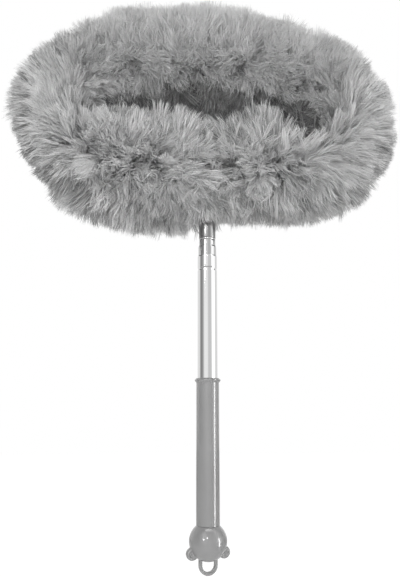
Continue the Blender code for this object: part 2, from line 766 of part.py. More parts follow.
def yoke(parent):
    """Clamp of two halves on the wire's ends. The back half carries the tongue."""
    low, high = WIRE_RISE - YOKE_HALF_HEIGHT, WIRE_RISE + YOKE_HALF_HEIGHT
    back = block((-YOKE_HALF_WIDTH, GAP / 2, low), (YOKE_HALF_WIDTH, YOKE_HALF_DEPTH, high))
    front = block((-YOKE_HALF_WIDTH, -YOKE_HALF_DEPTH, low), (YOKE_HALF_WIDTH, -GAP / 2, high))
    back_part = add_part("yoke_back", back, "dark_plastic", parent)
    front_part = add_part("yoke_front", front, "dark_plastic", parent)
    tongue = plate(yoke_tongue_outline(low + TONGUE_LAP), 2 * TONGUE_HALF, FACING_SIDE)
    join(back_part, add_cutter("yoke_tongue", tongue, parent))
    reach = 2 * YOKE_HALF_DEPTH
    lap = block((-reach, -reach, low - GAP), (reach, GAP / 2, low + 2 * TONGUE_LAP))
    pin_hole = rod(PIN_RADIUS + HOLE_CLEARANCE, (-reach, 0, 0), (reach, 0, 0), SCREW_SIDES)
    cut(
        back_part,
        add_cutter("front_half_room", lap, parent),
        add_cutter("tongue_pin_hole", pin_hole, parent),
    )
    for cutter in wire_groove_cutters(parent) + yoke_screw_cutters(parent):
        cut(back_part, cutter)
        cut(front_part, cutter)


def yoke_screw(name, side, parent):
    radius, head = YOKE_SCREW_RADIUS, YOKE_SCREW_HEAD_RADIUS
    profile = [
        (0.0, 0.0),
        (head, 0.0),
        (head, -YOKE_SCREW_HEAD_HEIGHT),
        (radius, -YOKE_SCREW_HEAD_HEIGHT),
        (radius, -YOKE_SCREW_LENGTH + radius),
        (radius / 2, -YOKE_SCREW_LENGTH),
        (0.0, -YOKE_SCREW_LENGTH),
    ]
    mesh = turned(profile, closed=False, sides=SMALL_SCREW_SIDES)
    screw = add_part(name, mesh, "zinc_steel", parent)
    screw.location = (side * YOKE_SCREW_X, -YOKE_HALF_DEPTH, WIRE_RISE + YOKE_SCREW_RISE)
    screw.rotation_euler = (math.radians(90), 0.0, 0.0)
    return screw


def loop_wire(parent):
    """Round steel wire bent to the oval, with its two ends in the clamp."""
    curve = bpy.data.curves.new("loop_wire", "CURVE")
    curve.dimensions = "3D"
    curve.bevel_depth = WIRE_RADIUS
    curve.bevel_resolution = WIRE_BEVEL_RESOLUTION
    curve.use_fill_caps = True
    stations = row_stations(WIRE_END, LOOP_LENGTH - WIRE_END)
    spline = curve.splines.new("POLY")
    spline.points.add(len(stations) - 1)
    for point, distance in zip(spline.points, stations, strict=True):
        place, _ = loop_frame(distance)
        point.co = (*place, 1.0)
    obj = bpy.data.objects.new("wire_path", curve)
    PARTS.objects.link(obj)
    return add_part("loop_wire", evaluated_mesh(obj), "zinc_steel", parent)


def foam_core(parent):
    """Foam tube on the wire, which fills the sleeve from one side of the clamp round to the other."""
    start = YOKE_HALF_WIDTH + 2 * GAP
    stations = row_stations(start, LOOP_LENGTH - start)
    rows = len(stations) - 1
    bm = straight_sleeve(FOAM_RADIUS, rows, PILE_SIDES)
    close_sleeve(bm, FOAM_RADIUS, WIRE_RADIUS + 2 * GAP, rows)
    bend_round_loop(bm, stations)
    return add_part("foam_core", mesh_from(bm), "foam", parent)


# Pile sleeve


def pile_reach(outwardness):
    """Pile length from the wire: full outwards and to the front and back, shorter where it crowds inside."""
    inward = max(0.0, -outwardness)
    return PILE_OUTWARD + (PILE_INWARD - PILE_OUTWARD) * inward


def faces_the_stem(cell):
    """True for the one cell of the neck that faces down in the middle row, where the tongue comes out."""
    centre = cell.calc_center_median()
    facing = math.atan2(centre.y, centre.x)
    return int(centre.z) == ROWS_IN_SLICE // 2 and abs(facing) < math.pi / PILE_SIDES


def raise_locks(bm, cells, rng, downward):
    """Draws the middle of each cell of the backing out to the tip of a four-sided lock of pile."""
    for cell in cells:
        centre = cell.calc_center_median()
        facing = Vector((centre.x, centre.y, 0.0)).normalized()
        reach = pile_reach(facing.x) - rng.uniform(0.0, LOCK_LENGTH_SPREAD)
        tip = centre + facing * (reach - centre.xy.length)
        tip.x += LOCK_DROOP * downward * (1 - abs(facing.x))
        tip += Vector(rng.uniform(-LOCK_SIDE_SPREAD, LOCK_SIDE_SPREAD, 3))
        bmesh.ops.poke(bm, faces=[cell])["verts"][0].co = tip


def pile_slice(name, middle, seed, parent, at_neck=False):
    """One slice of the sleeve: a round backing with rows of locks on it."""
    start, end = middle - SLICE_LENGTH / 2, middle + SLICE_LENGTH / 2
    stations = [start + SLICE_GAP / 2]
    stations += [start + ROW_LENGTH * k for k in range(1, ROWS_IN_SLICE)]
    stations += [end - SLICE_GAP / 2]
    bm = straight_sleeve(BACKING_RADIUS, ROWS_IN_SLICE, PILE_SIDES)
    cells = [face for face in bm.faces if not (at_neck and faces_the_stem(face))]
    stretch_rows(bm, ROW_LENGTH)
    _, normal = loop_frame(middle)
    raise_locks(bm, cells, np.random.default_rng(seed), -normal.z)
    stretch_rows(bm, 1 / ROW_LENGTH)
    close_sleeve(bm, BACKING_RADIUS, FOAM_RADIUS + GAP, ROWS_IN_SLICE)
    bend_round_loop(bm, stations)
    return add_part(name, mesh_from(bm), "pile", parent)


def stretch_rows(bm, factor):
    bmesh.ops.scale(bm, vec=(1.0, 1.0, factor), verts=bm.verts)


def pile_sleeve(parent):
    """The slices from the neck, up both sides, to the top."""
    neck = pile_slice("pile_neck", 0.0, LOCK_SEED, parent, at_neck=True)
    half = TONGUE_HALF + 2 * GAP
    depth = TONGUE_RADIUS + 2 * GAP
    room = block((-half, -depth, 0.0), (half, depth, WIRE_RISE - FOAM_RADIUS / 2))
    cut(neck, add_cutter("tongue_room", room, parent))
    for number in range(1, SLICE_COUNT // 2):
        distance = number * SLICE_LENGTH
        seed = LOCK_SEED + number
        pile_slice(f"pile_right_{number}", distance, seed, parent)
        pile_slice(f"pile_left_{number}", LOOP_LENGTH - distance, seed + SLICE_COUNT, parent)
    pile_slice("pile_top", LOOP_LENGTH / 2, LOCK_SEED + SLICE_COUNT // 2, parent)


# Assembly


def build_handle():
    """The grip and its tube, with the ball and its eye turned a little from the loop's plane."""
    grip_sleeve()
    outer_tube()
    end = empty("end_turn", (0.0, 0.0, 0.0))
    end.rotation_euler = (0.0, 0.0, END_TURN)
    end_ball(end)
    hanging_eye(end)


def build_sliding_tubes():
    middle = empty("middle_tube_slide", (0.0, 0.0, 0.0))
    sliding_tube("middle_tube", MIDDLE_RADIUS, MIDDLE_BOTTOM, MIDDLE_TOP, OUTER_BORE, True, middle)
    friction_bush("middle_bush", MIDDLE_BOTTOM, OUTER_BORE, middle)
    inner = empty("inner_tube_slide", (0.0, 0.0, 0.0), middle)
    sliding_tube("inner_tube", INNER_RADIUS, INNER_BOTTOM, INNER_TOP, MIDDLE_BORE, False, inner)
    friction_bush("inner_bush", INNER_BOTTOM, MIDDLE_BORE, inner)
    inner_plug(inner)
    return inner


def build_stem(inner):
    stem = empty("head_turn", (0.0, 0.0, 0.0), inner)
    stem_collar(stem)
    swivel_washer(stem)
    swivel_screw(stem)
    knuckle_fork(stem)
    knuckle_screw(stem)
    knuckle_nut(stem)
    friction_washer("friction_washer_right", 1, stem)
    friction_washer("friction_washer_left", -1, stem)
    return stem


def build_loop(stem):
    loop = empty("head_tilt", (0.0, 0.0, PIVOT_HEIGHT), stem)
    loop.rotation_euler = (-REST_LEAN, 0.0, 0.0)
    yoke(loop)
    yoke_screw("yoke_screw_left", -1, loop)
    yoke_screw("yoke_screw_right", 1, loop)
    loop_wire(loop)
    foam_core(loop)
    pile_sleeve(loop)


build_handle()
build_loop(build_stem(build_sliding_tubes()))
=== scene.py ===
"""Looks of the ceiling fan duster: camera, studio light, materials, polished pieces and strands of pile.

Lengths are in metres unless a name ends in _mm or _MM. The frame is the CAD model's: +Z up the pole, and the
loop's front to -Y.
"""

import math
from types import SimpleNamespace

import bmesh
import bpy
import numpy as np
from mathutils import Matrix, Vector


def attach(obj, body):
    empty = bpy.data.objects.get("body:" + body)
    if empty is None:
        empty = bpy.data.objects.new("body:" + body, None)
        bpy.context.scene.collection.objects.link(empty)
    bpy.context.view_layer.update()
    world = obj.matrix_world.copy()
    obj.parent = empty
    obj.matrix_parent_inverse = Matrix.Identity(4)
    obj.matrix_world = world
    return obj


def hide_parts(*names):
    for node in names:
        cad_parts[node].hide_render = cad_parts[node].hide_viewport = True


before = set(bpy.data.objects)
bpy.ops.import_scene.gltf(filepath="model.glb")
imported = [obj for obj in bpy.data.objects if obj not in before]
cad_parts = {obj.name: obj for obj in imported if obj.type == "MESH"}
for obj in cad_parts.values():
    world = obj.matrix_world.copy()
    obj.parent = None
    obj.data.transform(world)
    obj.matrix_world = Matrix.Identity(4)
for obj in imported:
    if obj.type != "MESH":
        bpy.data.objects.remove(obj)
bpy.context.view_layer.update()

MM = 0.001

# Camera: its place beside the pole, and the studio's directions measured from it
CAMERA_AZIMUTH = math.radians(-4)
CAMERA_DISTANCE = 0.572
CAMERA_LEFT_OF_POLE = 0.0072
CAMERA_HEIGHT = 0.0356
CAMERA_PITCH = math.radians(11.5)
CAMERA_LENS = 37.44

# Loop, as in the CAD model: four arcs in a plane that leans back from the knuckle's pin
PIVOT_HEIGHT = 0.2319
REST_LEAN = math.radians(15)
WIRE_RISE = 0.046
LOOP_HALF_WIDTH = 0.147
LOOP_HALF_HEIGHT = 0.076
LOOP_END_RADIUS = 0.066
END_CENTRE_X = LOOP_HALF_WIDTH - LOOP_END_RADIUS
LONG_RADIUS = (END_CENTRE_X**2 + LOOP_HALF_HEIGHT**2 - LOOP_END_RADIUS**2) / (
    2 * (LOOP_HALF_HEIGHT - LOOP_END_RADIUS)
)
LONG_CENTRE = LONG_RADIUS - LOOP_HALF_HEIGHT
LONG_ANGLE = math.atan2(END_CENTRE_X, LONG_CENTRE)
END_ANGLE = math.pi - 2 * LONG_ANGLE
LOOP_LENGTH = 4 * LONG_ANGLE * LONG_RADIUS + 2 * END_ANGLE * LOOP_END_RADIUS
SLICE_COUNT = 14
SLICE_LENGTH = LOOP_LENGTH / SLICE_COUNT


# Material helpers


def node_material(name):
    """A material, its node tree and its Principled shader."""
    made = bpy.data.materials.new(name)
    made.use_nodes = True
    tree = made.node_tree
    return made, tree, tree.nodes["Principled BSDF"]


def add(tree, kind, links=(), **values):
    """A node with its properties or sockets set by name, and links of (socket, the output that feeds it)."""
    node = tree.nodes.new(kind)
    for key, value in values.items():
        if hasattr(node, key):
            setattr(node, key, value)
        else:
            node.inputs[key.replace("_", " ")].default_value = value
    for socket, output in links:
        tree.links.new(output, node.inputs[socket])
    return node


def noise(tree, scale, detail=3.0, stretch=(1.0, 1.0, 1.0)):
    """A factor that varies with the place on the object, in about that many cells per metre."""
    where = add(tree, "ShaderNodeTexCoord")
    sized = add(tree, "ShaderNodeMapping", [("Vector", where.outputs["Object"])], Scale=stretch)
    return add(
        tree, "ShaderNodeTexNoise", [("Vector", sized.outputs["Vector"])], Scale=scale, Detail=detail
    ).outputs["Fac"]


def ramp(tree, factor, stops):
    """A colour ramp on a factor; stops are (position, grey)."""
    node = add(tree, "ShaderNodeValToRGB", [("Fac", factor)])
    points = node.color_ramp.elements
    while len(points) < len(stops):
        points.new(0.5)
    for point, (position, grey) in zip(points, stops):
        point.position = position
        point.color = (grey, grey, grey, 1.0)
    return node.outputs["Color"]


def bump(tree, shader, height, strength, distance_mm):
    """A relief on the shader by a factor of height."""
    node = add(tree, "ShaderNodeBump", [("Height", height)], Strength=strength, Distance=distance_mm * MM)
    tree.links.new(node.outputs["Normal"], shader.inputs["Normal"])


def spread(tree, factor, low, high):
    """A factor of 0 to 1 mapped to low to high."""
    return add(tree, "ShaderNodeMapRange", [("Value", factor)], To_Min=low, To_Max=high).outputs["Result"]


def mix(tree, factor, first, second):
    """The first shader, changing to the second as the factor goes from 0 to 1."""
    links = [("Fac", factor), (1, first.outputs[0]), (2, second.outputs[0])]
    return add(tree, "ShaderNodeMixShader", links)


# Materials

# Cells per metre of the textures
FINE_CELLS = 900.0
KNIT_CELLS = 500.0
STREAK_CELLS = 300.0
SMUDGE_CELLS = 60.0
FLOW_CELLS = 35.0
FLOOR_CELLS = 4.0

# Share of the light on a fibre that passes through it
LIGHT_THROUGH_FIBRE = 0.30


def steel(name, tone, roughness, wear=0.04):
    """Drawn steel: fine lines along the tube, faint smudges, and roughness that follows them."""
    made, tree, shader = node_material(name)
    lines = noise(tree, FINE_CELLS, detail=2.0, stretch=(1.0, 1.0, 0.01))
    smudges = noise(tree, SMUDGE_CELLS, detail=4.0, stretch=(1.0, 1.0, 0.3))
    shade = ramp(tree, smudges, [(0.30, tone * (1 - wear)), (0.75, tone)])
    tree.links.new(shade, shader.inputs["Base Color"])
    shader.inputs["Metallic"].default_value = 1.0
    uneven = spread(tree, smudges, low=roughness * 0.7, high=roughness * 1.6)
    tree.links.new(uneven, shader.inputs["Roughness"])
    bump(tree, shader, lines, strength=0.06, distance_mm=0.02)
    return made


def plastic(name, tone, roughness, coat, grain=0.05):
    """Moulded plastic: even colour with a faint flow, a fine skin and slightly uneven gloss."""
    made, tree, shader = node_material(name)
    flow = noise(tree, FLOW_CELLS)
    skin = noise(tree, FINE_CELLS, detail=2.0)
    shade = ramp(tree, flow, [(0.3, tone * 0.96), (0.7, tone * 1.03)])
    tree.links.new(shade, shader.inputs["Base Color"])
    uneven = spread(tree, flow, low=roughness * 0.85, high=roughness * 1.15)
    tree.links.new(uneven, shader.inputs["Roughness"])
    shader.inputs["Coat Weight"].default_value = coat
    shader.inputs["Coat Roughness"].default_value = 0.04
    bump(tree, shader, skin, strength=grain, distance_mm=0.03)
    return made


def foam_material():
    """Open-celled foam, darker in its cells as painted shade."""
    made, tree, shader = node_material("foam")
    where = add(tree, "ShaderNodeTexCoord").outputs["Object"]
    cells = add(tree, "ShaderNodeTexVoronoi", [("Vector", where)], Scale=FINE_CELLS).outputs["Distance"]
    # Painted shade: darker towards the middle of each cell, where the foam's hollows are
    tree.links.new(ramp(tree, cells, [(0.0, 0.20), (0.6, 0.42)]), shader.inputs["Base Color"])
    tree.links.new(spread(tree, cells, low=0.85, high=1.0), shader.inputs["Roughness"])
    bump(tree, shader, cells, strength=0.8, distance_mm=0.4)
    return made


def backing_material():
    """Knitted backing of the sleeve, seen only as darkness between the tufts: the knit's speckle is its own,
    and its grey, darker than the fibres, is painted shade.
    """
    made, tree, shader = node_material("pile_backing")
    knit = noise(tree, KNIT_CELLS)
    # Painted shade: the backing's grey stands for the shade between the tufts; the knit's speckle is its own
    tree.links.new(ramp(tree, knit, [(0.3, 0.36), (0.7, 0.46)]), shader.inputs["Base Color"])
    tree.links.new(spread(tree, knit, low=0.8, high=1.0), shader.inputs["Roughness"])
    bump(tree, shader, knit, strength=0.6, distance_mm=0.5)
    return made


def pile_material():
    """Soft glossy fibre that lets some light through, with the tone that is kept in its mesh, which holds
    random tone, painted light and shade, and painted glints.
    """
    made, tree, shader = node_material("pile_fibre")
    # The tone attribute carries random tone together with painted light, painted shade and painted glints
    tone = add(tree, "ShaderNodeAttribute", attribute_name="tone").outputs["Fac"]
    shade = ramp(tree, tone, [(0.0, 0.20), (0.5, 0.76), (1.0, 0.97)])
    tree.links.new(shade, shader.inputs["Base Color"])
    streak = noise(tree, STREAK_CELLS, detail=2.0)
    tree.links.new(spread(tree, streak, low=0.34, high=0.52), shader.inputs["Roughness"])
    through = add(tree, "ShaderNodeBsdfTranslucent", [("Color", shade)])
    mixed = add(
        tree,
        "ShaderNodeMixShader",
        [(1, shader.outputs["BSDF"]), (2, through.outputs["BSDF"])],
        Fac=LIGHT_THROUGH_FIBRE,
    )
    tree.links.new(mixed.outputs["Shader"], tree.nodes["Material Output"].inputs["Surface"])
    return made


POLISHED = steel("polished_steel", tone=0.82, roughness=0.05)
# Painted shade: the inner tubes' and the collar's steel are darker copies of the polished steel, for the
# shade and dark reflection of the pile above them
INNER_STEEL_SHADED = steel("inner_steel_shaded", tone=0.62, roughness=0.05)
COLLAR_STEEL_SHADED = steel("collar_steel_shaded", tone=0.36, roughness=0.20)
ZINC = steel("zinc_steel", tone=0.55, roughness=0.30, wear=0.2)
GREY_PLASTIC = plastic("grip_plastic", tone=0.236, roughness=0.24, coat=0.9)
DARK_PLASTIC = plastic("knuckle_plastic", tone=0.035, roughness=0.42, coat=0.0, grain=0.15)
NYLON = plastic("nylon", tone=0.60, roughness=0.45, coat=0.0, grain=0.1)
FOAM = foam_material()
BACKING = backing_material()
PILE = pile_material()


# Placing pieces

WELD_DISTANCE = 1e-7
SHARP_EDGE = math.radians(40)


def new_object(name, data):
    """An object with that data, in the scene."""
    made = bpy.data.objects.new(name, data)
    bpy.context.scene.collection.objects.link(made)
    return made


def piece(name, mesh, material, body, slot, *nodes):
    """A named piece that rides on a body and stands for CAD nodes; its slot argument is not used."""
    mesh.materials.clear()
    mesh.materials.append(material)
    obj = new_object(name, mesh)
    if nodes:
        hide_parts(*nodes)
    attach(obj, body)
    return obj


def mesh_of(name, points, quads, tris=None):
    """A mesh from arrays of points and of faces."""
    mesh = bpy.data.meshes.new(name)
    corners = [np.asarray(quads, np.int32).ravel()]
    sizes = [np.full(len(quads), 4, np.int32)]
    if tris is not None:
        corners.append(np.asarray(tris, np.int32).ravel())
        sizes.append(np.full(len(tris), 3, np.int32))
    corners = np.concatenate(corners)
    sizes = np.concatenate(sizes)
    starts = np.concatenate([[0], np.cumsum(sizes)[:-1]]).astype(np.int32)
    mesh.vertices.add(len(points))
    mesh.vertices.foreach_set("co", np.asarray(points, np.float32).ravel())
    mesh.loops.add(len(corners))
    mesh.loops.foreach_set("vertex_index", corners)
    mesh.polygons.add(len(sizes))
    mesh.polygons.foreach_set("loop_start", starts)
    mesh.polygons.foreach_set("loop_total", sizes)
    mesh.update(calc_edges=True)
    return mesh


def turn_normals_out(mesh, fill_ends_of=None, weld=False):
    """Turns all faces outwards, after welding doubled points or filling ends of that many sides if asked."""
    bm = bmesh.new()
    bm.from_mesh(mesh)
    if weld:
        bmesh.ops.remove_doubles(bm, verts=bm.verts, dist=WELD_DISTANCE)
    if fill_ends_of:
        open_edges = [edge for edge in bm.edges if edge.is_boundary]
        bmesh.ops.holes_fill(bm, edges=open_edges, sides=fill_ends_of)
    bmesh.ops.recalc_face_normals(bm, faces=bm.faces)
    bm.to_mesh(mesh)
    bm.free()


# Turned pieces

# Grip: its radius and its bore's, half its length, and its rim's radius
GRIP_MM = 10.7
GRIP_BORE_MM = 9.8
GRIP_END_MM = 65.5
RIM_MM = 12.2

# Tubes: their radii and tops, the lip at a top, the rolled groove, and the neck of a foot for its bush
OUTER_TUBE_MM = 9.5
MIDDLE_TUBE_MM = 8.75
INNER_TUBE_MM = 8.0
TUBE_WALL_MM = 0.4
OUTER_TOP_MM = 184.3
MIDDLE_TOP_MM = 194.2
INNER_TOP_MM = 200.1
LIP_DEPTH_MM = 0.3
LIP_HEIGHT_MM = 1.2
LIP_BORE_MM = 8.17
GROOVE_BELOW_TOP_MM = 13.6
GROOVE_DEPTH_MM = 0.28
BEAD_DEPTH_MM = 0.18
NECK_DEPTH_MM = 0.55
BUSH_NECK_MM = 8.6

# Plug, its flange and screw hole, and the collar, with a gap under the flange and under the collar
PLUG_MM = 7.3
PLUG_LENGTH_MM = 18.3
PLUG_FLANGE_MM = 1.5
SCREW_HOLE_MM = 2.2
COLLAR_MM = 8.15
COLLAR_WALL_MM = 0.55
COLLAR_LENGTH_MM = 17.0
SEAT_GAP_MM = 0.3
PLUG_SEAT_MM = INNER_TOP_MM + SEAT_GAP_MM
COLLAR_SEAT_MM = PLUG_SEAT_MM + PLUG_FLANGE_MM + SEAT_GAP_MM


def rounded(corners, closed=True, steps=5):
    """Points of an outline whose (radius, height, rounding) corners, in mm, are rounded off."""
    out = []
    count = len(corners)
    for i, (r, z, rounding) in enumerate(corners):
        here = np.array((r, z))
        if rounding == 0 or (not closed and i in (0, count - 1)):
            out.append(here)
            continue
        before = np.array(corners[i - 1][:2]) - here
        after = np.array(corners[(i + 1) % count][:2]) - here
        before /= np.linalg.norm(before)
        after /= np.linalg.norm(after)
        half = 0.5 * math.acos(float(np.clip(before @ after, -1, 1)))
        middle = before + after
        centre = here + middle / np.linalg.norm(middle) * rounding / math.sin(half)
        start = here + before * rounding / math.tan(half) - centre
        end = here + after * rounding / math.tan(half) - centre
        first = math.atan2(start[1], start[0])
        turn = (math.atan2(end[1], end[0]) - first + math.pi) % math.tau - math.pi
        for k in range(steps + 1):
            angle = first + turn * k / steps
            out.append(centre + rounding * np.array((math.cos(angle), math.sin(angle))))
    return np.array(out) * MM


def lathe(name, outline, closed=True, sides=128):
    """Turns an outline of (radius, height) points about Z; it runs down the outside first."""
    count = len(outline)
    angles = np.arange(sides) * math.tau / sides
    ring = np.stack([np.cos(angles), np.sin(angles)], 1)
    across = outline[:, :1, None] * ring[None]
    up = np.repeat(outline[:, 1:, None], sides, 1)
    points = np.concatenate([across, up], 2).reshape(-1, 3)
    rows = count if closed else count - 1
    i = np.arange(rows)[:, None]
    k = np.arange(sides)[None, :]
    next_k = (k + 1) % sides
    here = i * sides
    below = ((i + 1) % count) * sides
    quads = np.stack([here + k, below + k, below + next_k, here + next_k], 2).reshape(-1, 4)
    mesh = mesh_of(name, points, quads)
    turn_normals_out(mesh, weld=True)
    mesh.shade_smooth()
    mesh.set_sharp_from_angle(angle=SHARP_EDGE)
    return mesh


def turned_piece(name, corners, material, body, slot, node):
    """A piece with rounded edges, turned about the pole, that stands for a CAD node."""
    return piece(name, lathe(name, rounded(corners)), material, body, slot, node)


def tube_foot(radius, bottom):
    """Corners down the outside and up the bore of a tube's foot: a neck for the bush and a flange."""
    bore = radius - TUBE_WALL_MM
    flange = radius + 0.25
    flange_top = bottom + 1.0
    neck_top = flange_top + BUSH_NECK_MM
    return [
        (radius, neck_top + NECK_DEPTH_MM, 0.3),
        (radius - NECK_DEPTH_MM, neck_top, 0.3),
        (radius - NECK_DEPTH_MM, flange_top, 0),
        (flange, flange_top, 0.1),
        (flange, bottom, 0.1),
        (bore - NECK_DEPTH_MM, bottom, 0),
        (bore - NECK_DEPTH_MM, neck_top, 0.3),
        (bore, neck_top + NECK_DEPTH_MM, 0.3),
    ]


def grip_corners(radius, end):
    """A straight sleeve with a flared rim at its top."""
    return [
        (radius + 0.1, end, 0.4),
        (RIM_MM, end - 1.5, 0.6),
        (RIM_MM - 0.1, end - 2.5, 0.5),
        (radius + 0.05, end - 4.0, 1.0),
        (radius, 0.0, 0),
        (radius, -end, 0.4),
        (GRIP_BORE_MM, -end, 0),
        (GRIP_BORE_MM, end, 0.3),
    ]


def outer_corners(radius, top, bottom):
    """A tube with a rolled groove near its top, which is a bead in its bore."""
    bore = radius - TUBE_WALL_MM
    middle = top - GROOVE_BELOW_TOP_MM
    groove = radius - GROOVE_DEPTH_MM
    bead = bore - BEAD_DEPTH_MM
    return [
        (radius - LIP_DEPTH_MM, top, 0.08),
        (radius, top - LIP_HEIGHT_MM, 0.5),
        (radius, middle + 1.7, 0.8),
        (groove, middle + 0.5, 0.5),
        (groove, middle - 0.5, 0.5),
        (radius, middle - 1.7, 0.8),
        (radius, bottom, 0.1),
        (bore, bottom, 0),
        (bore, middle - 1.5, 0),
        (bead, middle - 0.5, 0),
        (bead, middle + 0.5, 0),
        (bore, middle + 1.5, 0),
        (bore, top, 0.15),
    ]


def middle_corners(radius, top, bottom):
    """A tube with a foot, and a lip rolled inwards at its top."""
    return [
        (radius - LIP_DEPTH_MM, top, 0.1),
        (radius, top - LIP_HEIGHT_MM, 0.5),
        *tube_foot(radius, bottom),
        (radius - TUBE_WALL_MM, top - 1.5, 0),
        (LIP_BORE_MM, top - 0.75, 0),
        (LIP_BORE_MM, top, 0.2),
    ]


def inner_corners(radius, top, bottom):
    """A tube with a foot, and a plain top on which the plug sits."""
    return [
        (radius - 0.2, top, 0.1),
        (radius, top - 1.0, 0.4),
        *tube_foot(radius, bottom),
        (radius - TUBE_WALL_MM, top, 0.1),
    ]


def plug_corners(radius, seat):
    """A plug with a flange on its seat, and a hole for the swivel screw."""
    top = seat + PLUG_FLANGE_MM
    bottom = seat - PLUG_LENGTH_MM
    return [
        (COLLAR_MM, top, 0.6),
        (COLLAR_MM, seat, 0.6),
        (radius, seat, 0),
        (radius, bottom, 0.3),
        (SCREW_HOLE_MM, bottom, 0),
        (SCREW_HOLE_MM, top, 0.2),
    ]


def collar_corners(bottom):
    """A short tube that stands just clear of the plug's flange."""
    top = bottom + COLLAR_LENGTH_MM
    bore = COLLAR_MM - COLLAR_WALL_MM
    return [(COLLAR_MM, top, 0.25), (COLLAR_MM, bottom, 0.35), (bore, bottom, 0.1), (bore, top, 0.2)]


grip = grip_corners(GRIP_MM, GRIP_END_MM)
outer = outer_corners(OUTER_TUBE_MM, OUTER_TOP_MM, bottom=-62.5)
middle = middle_corners(MIDDLE_TUBE_MM, MIDDLE_TOP_MM, bottom=-50.5)
inner = inner_corners(INNER_TUBE_MM, INNER_TOP_MM, bottom=-38.5)
plug = plug_corners(PLUG_MM, PLUG_SEAT_MM)
collar = collar_corners(COLLAR_SEAT_MM)
turned_piece("grip_moulding", grip, GREY_PLASTIC, "handle", "grey_plastic", "grip_sleeve")
turned_piece("outer_tube_polished", outer, POLISHED, "handle", "polished_steel", "outer_tube")
turned_piece("middle_tube_polished", middle, INNER_STEEL_SHADED, "middle_section", "polished_steel", "middle_tube")
turned_piece("inner_tube_polished", inner, INNER_STEEL_SHADED, "inner_section", "polished_steel", "inner_tube")
turned_piece("plug_flange", plug, POLISHED, "inner_section", "polished_steel", "inner_plug")
turned_piece("collar_polished", collar, COLLAR_STEEL_SHADED, "stem", "polished_steel", "stem_collar")


# End ball with its lugs, and the hanging eye

BALL_CENTRE_MM = -79.203
BALL_RADIUS_MM = 17.15
END_TURN = math.radians(13)

# Lugs: where they stand on the ball, their radius and half thickness, and the dish in each face
LUG_REACH_MM = 17.8
LUG_DROP = math.radians(33)
LUG_MM = 5.5
LUG_HALF_MM = 3.2
DISH_MM = 3.6
DISH_FLOOR_MM = 2.2
DISH_DEPTH_MM = 0.9

# Spigot of the ball, in the grip's end
SPIGOT_MM = 8.8
SPIGOT_BORE_MM = 7.0
SPIGOT_TOP_MM = -55.5
SPIGOT_BOTTOM_MM = -66.0

# Fusing the ball, its lugs and its spigot
VOXEL_MM = 0.33
SOFTENING = 0.6
SOFTENING_ROUNDS = 8

# Eye: a bar, as thick in the eye's plane as EYE_BAR_MM, bent to a U
EYE_RADIUS_MM = 8.8
EYE_BAR_MM = 3.2
EYE_HALF_DEPTH_MM = 2.0
EYE_ROUNDING_MM = 1.1
EYE_BELOW_BALL_MM = 11.5
EYE_LEG_MM = 7.6
LEG_STEPS = 7
BEND_STEPS = 28
EYE_SHARP_EDGE = math.radians(50)


def lug_shape(side):
    """One round lug, dished on both faces, beside and below the ball."""
    floor = LUG_HALF_MM - DISH_DEPTH_MM
    corners = [
        (0, floor, 0),
        (DISH_FLOOR_MM, floor, 0.6),
        (DISH_MM, LUG_HALF_MM, 0.8),
        (LUG_MM, LUG_HALF_MM, 2.2),
    ]
    corners += [(r, -z, rounding) for r, z, rounding in reversed(corners)]
    lug = lathe("lug", rounded(corners, closed=False), closed=False, sides=64)
    beside = LUG_REACH_MM * math.cos(LUG_DROP)
    below = LUG_REACH_MM * math.sin(LUG_DROP)
    place = Matrix.Translation((side * beside * MM, 0, (BALL_CENTRE_MM - below) * MM))
    lug.transform(place @ Matrix.Rotation(math.radians(90), 4, "X"))
    return lug


def ball_mesh():
    """Ball, spigot and two lugs, joined and remeshed, so that each lug grows out of the ball."""
    bm = bmesh.new()
    centre = Matrix.Translation((0, 0, BALL_CENTRE_MM * MM))
    bmesh.ops.create_uvsphere(bm, u_segments=96, v_segments=64, radius=BALL_RADIUS_MM * MM, matrix=centre)
    spigot = [
        (SPIGOT_MM, SPIGOT_TOP_MM, 0.3),
        (SPIGOT_MM, SPIGOT_BOTTOM_MM, 0),
        (SPIGOT_BORE_MM, SPIGOT_BOTTOM_MM, 0),
        (SPIGOT_BORE_MM, SPIGOT_TOP_MM, 0.3),
    ]
    for shape in (lathe("spigot", rounded(spigot)), lug_shape(-1), lug_shape(1)):
        bm.from_mesh(shape)
    mesh = bpy.data.meshes.new("ball")
    bm.to_mesh(mesh)
    bm.free()
    ball = new_object("ball", mesh)
    remesh = ball.modifiers.new("fuse", "REMESH")
    remesh.mode = "VOXEL"
    remesh.voxel_size = VOXEL_MM * MM
    soften = ball.modifiers.new("soften", "SMOOTH")
    soften.factor = SOFTENING
    soften.iterations = SOFTENING_ROUNDS
    bpy.context.view_layer.update()
    evaluated = ball.evaluated_get(bpy.context.evaluated_depsgraph_get())
    made = bpy.data.meshes.new_from_object(evaluated)
    bpy.data.objects.remove(ball, do_unlink=True)
    made.name = "end_ball_moulding"
    made.transform(Matrix.Rotation(END_TURN, 4, "Z"))
    made.shade_smooth()
    return made


def eye_path(middle):
    """Places along the bar's middle, (sideways, height) in mm: down a leg, round the bend and up a leg."""
    bend = BALL_CENTRE_MM - BALL_RADIUS_MM - EYE_BELOW_BALL_MM + EYE_RADIUS_MM
    turns = [math.pi + math.pi * k / BEND_STEPS for k in range(BEND_STEPS + 1)]
    path = [(-middle, bend + EYE_LEG_MM * (1 - k / LEG_STEPS)) for k in range(LEG_STEPS)]
    path += [(middle * math.cos(turn), bend + middle * math.sin(turn)) for turn in turns]
    path += [(middle, bend + EYE_LEG_MM * (k + 1) / LEG_STEPS) for k in range(LEG_STEPS)]
    return np.array(path)


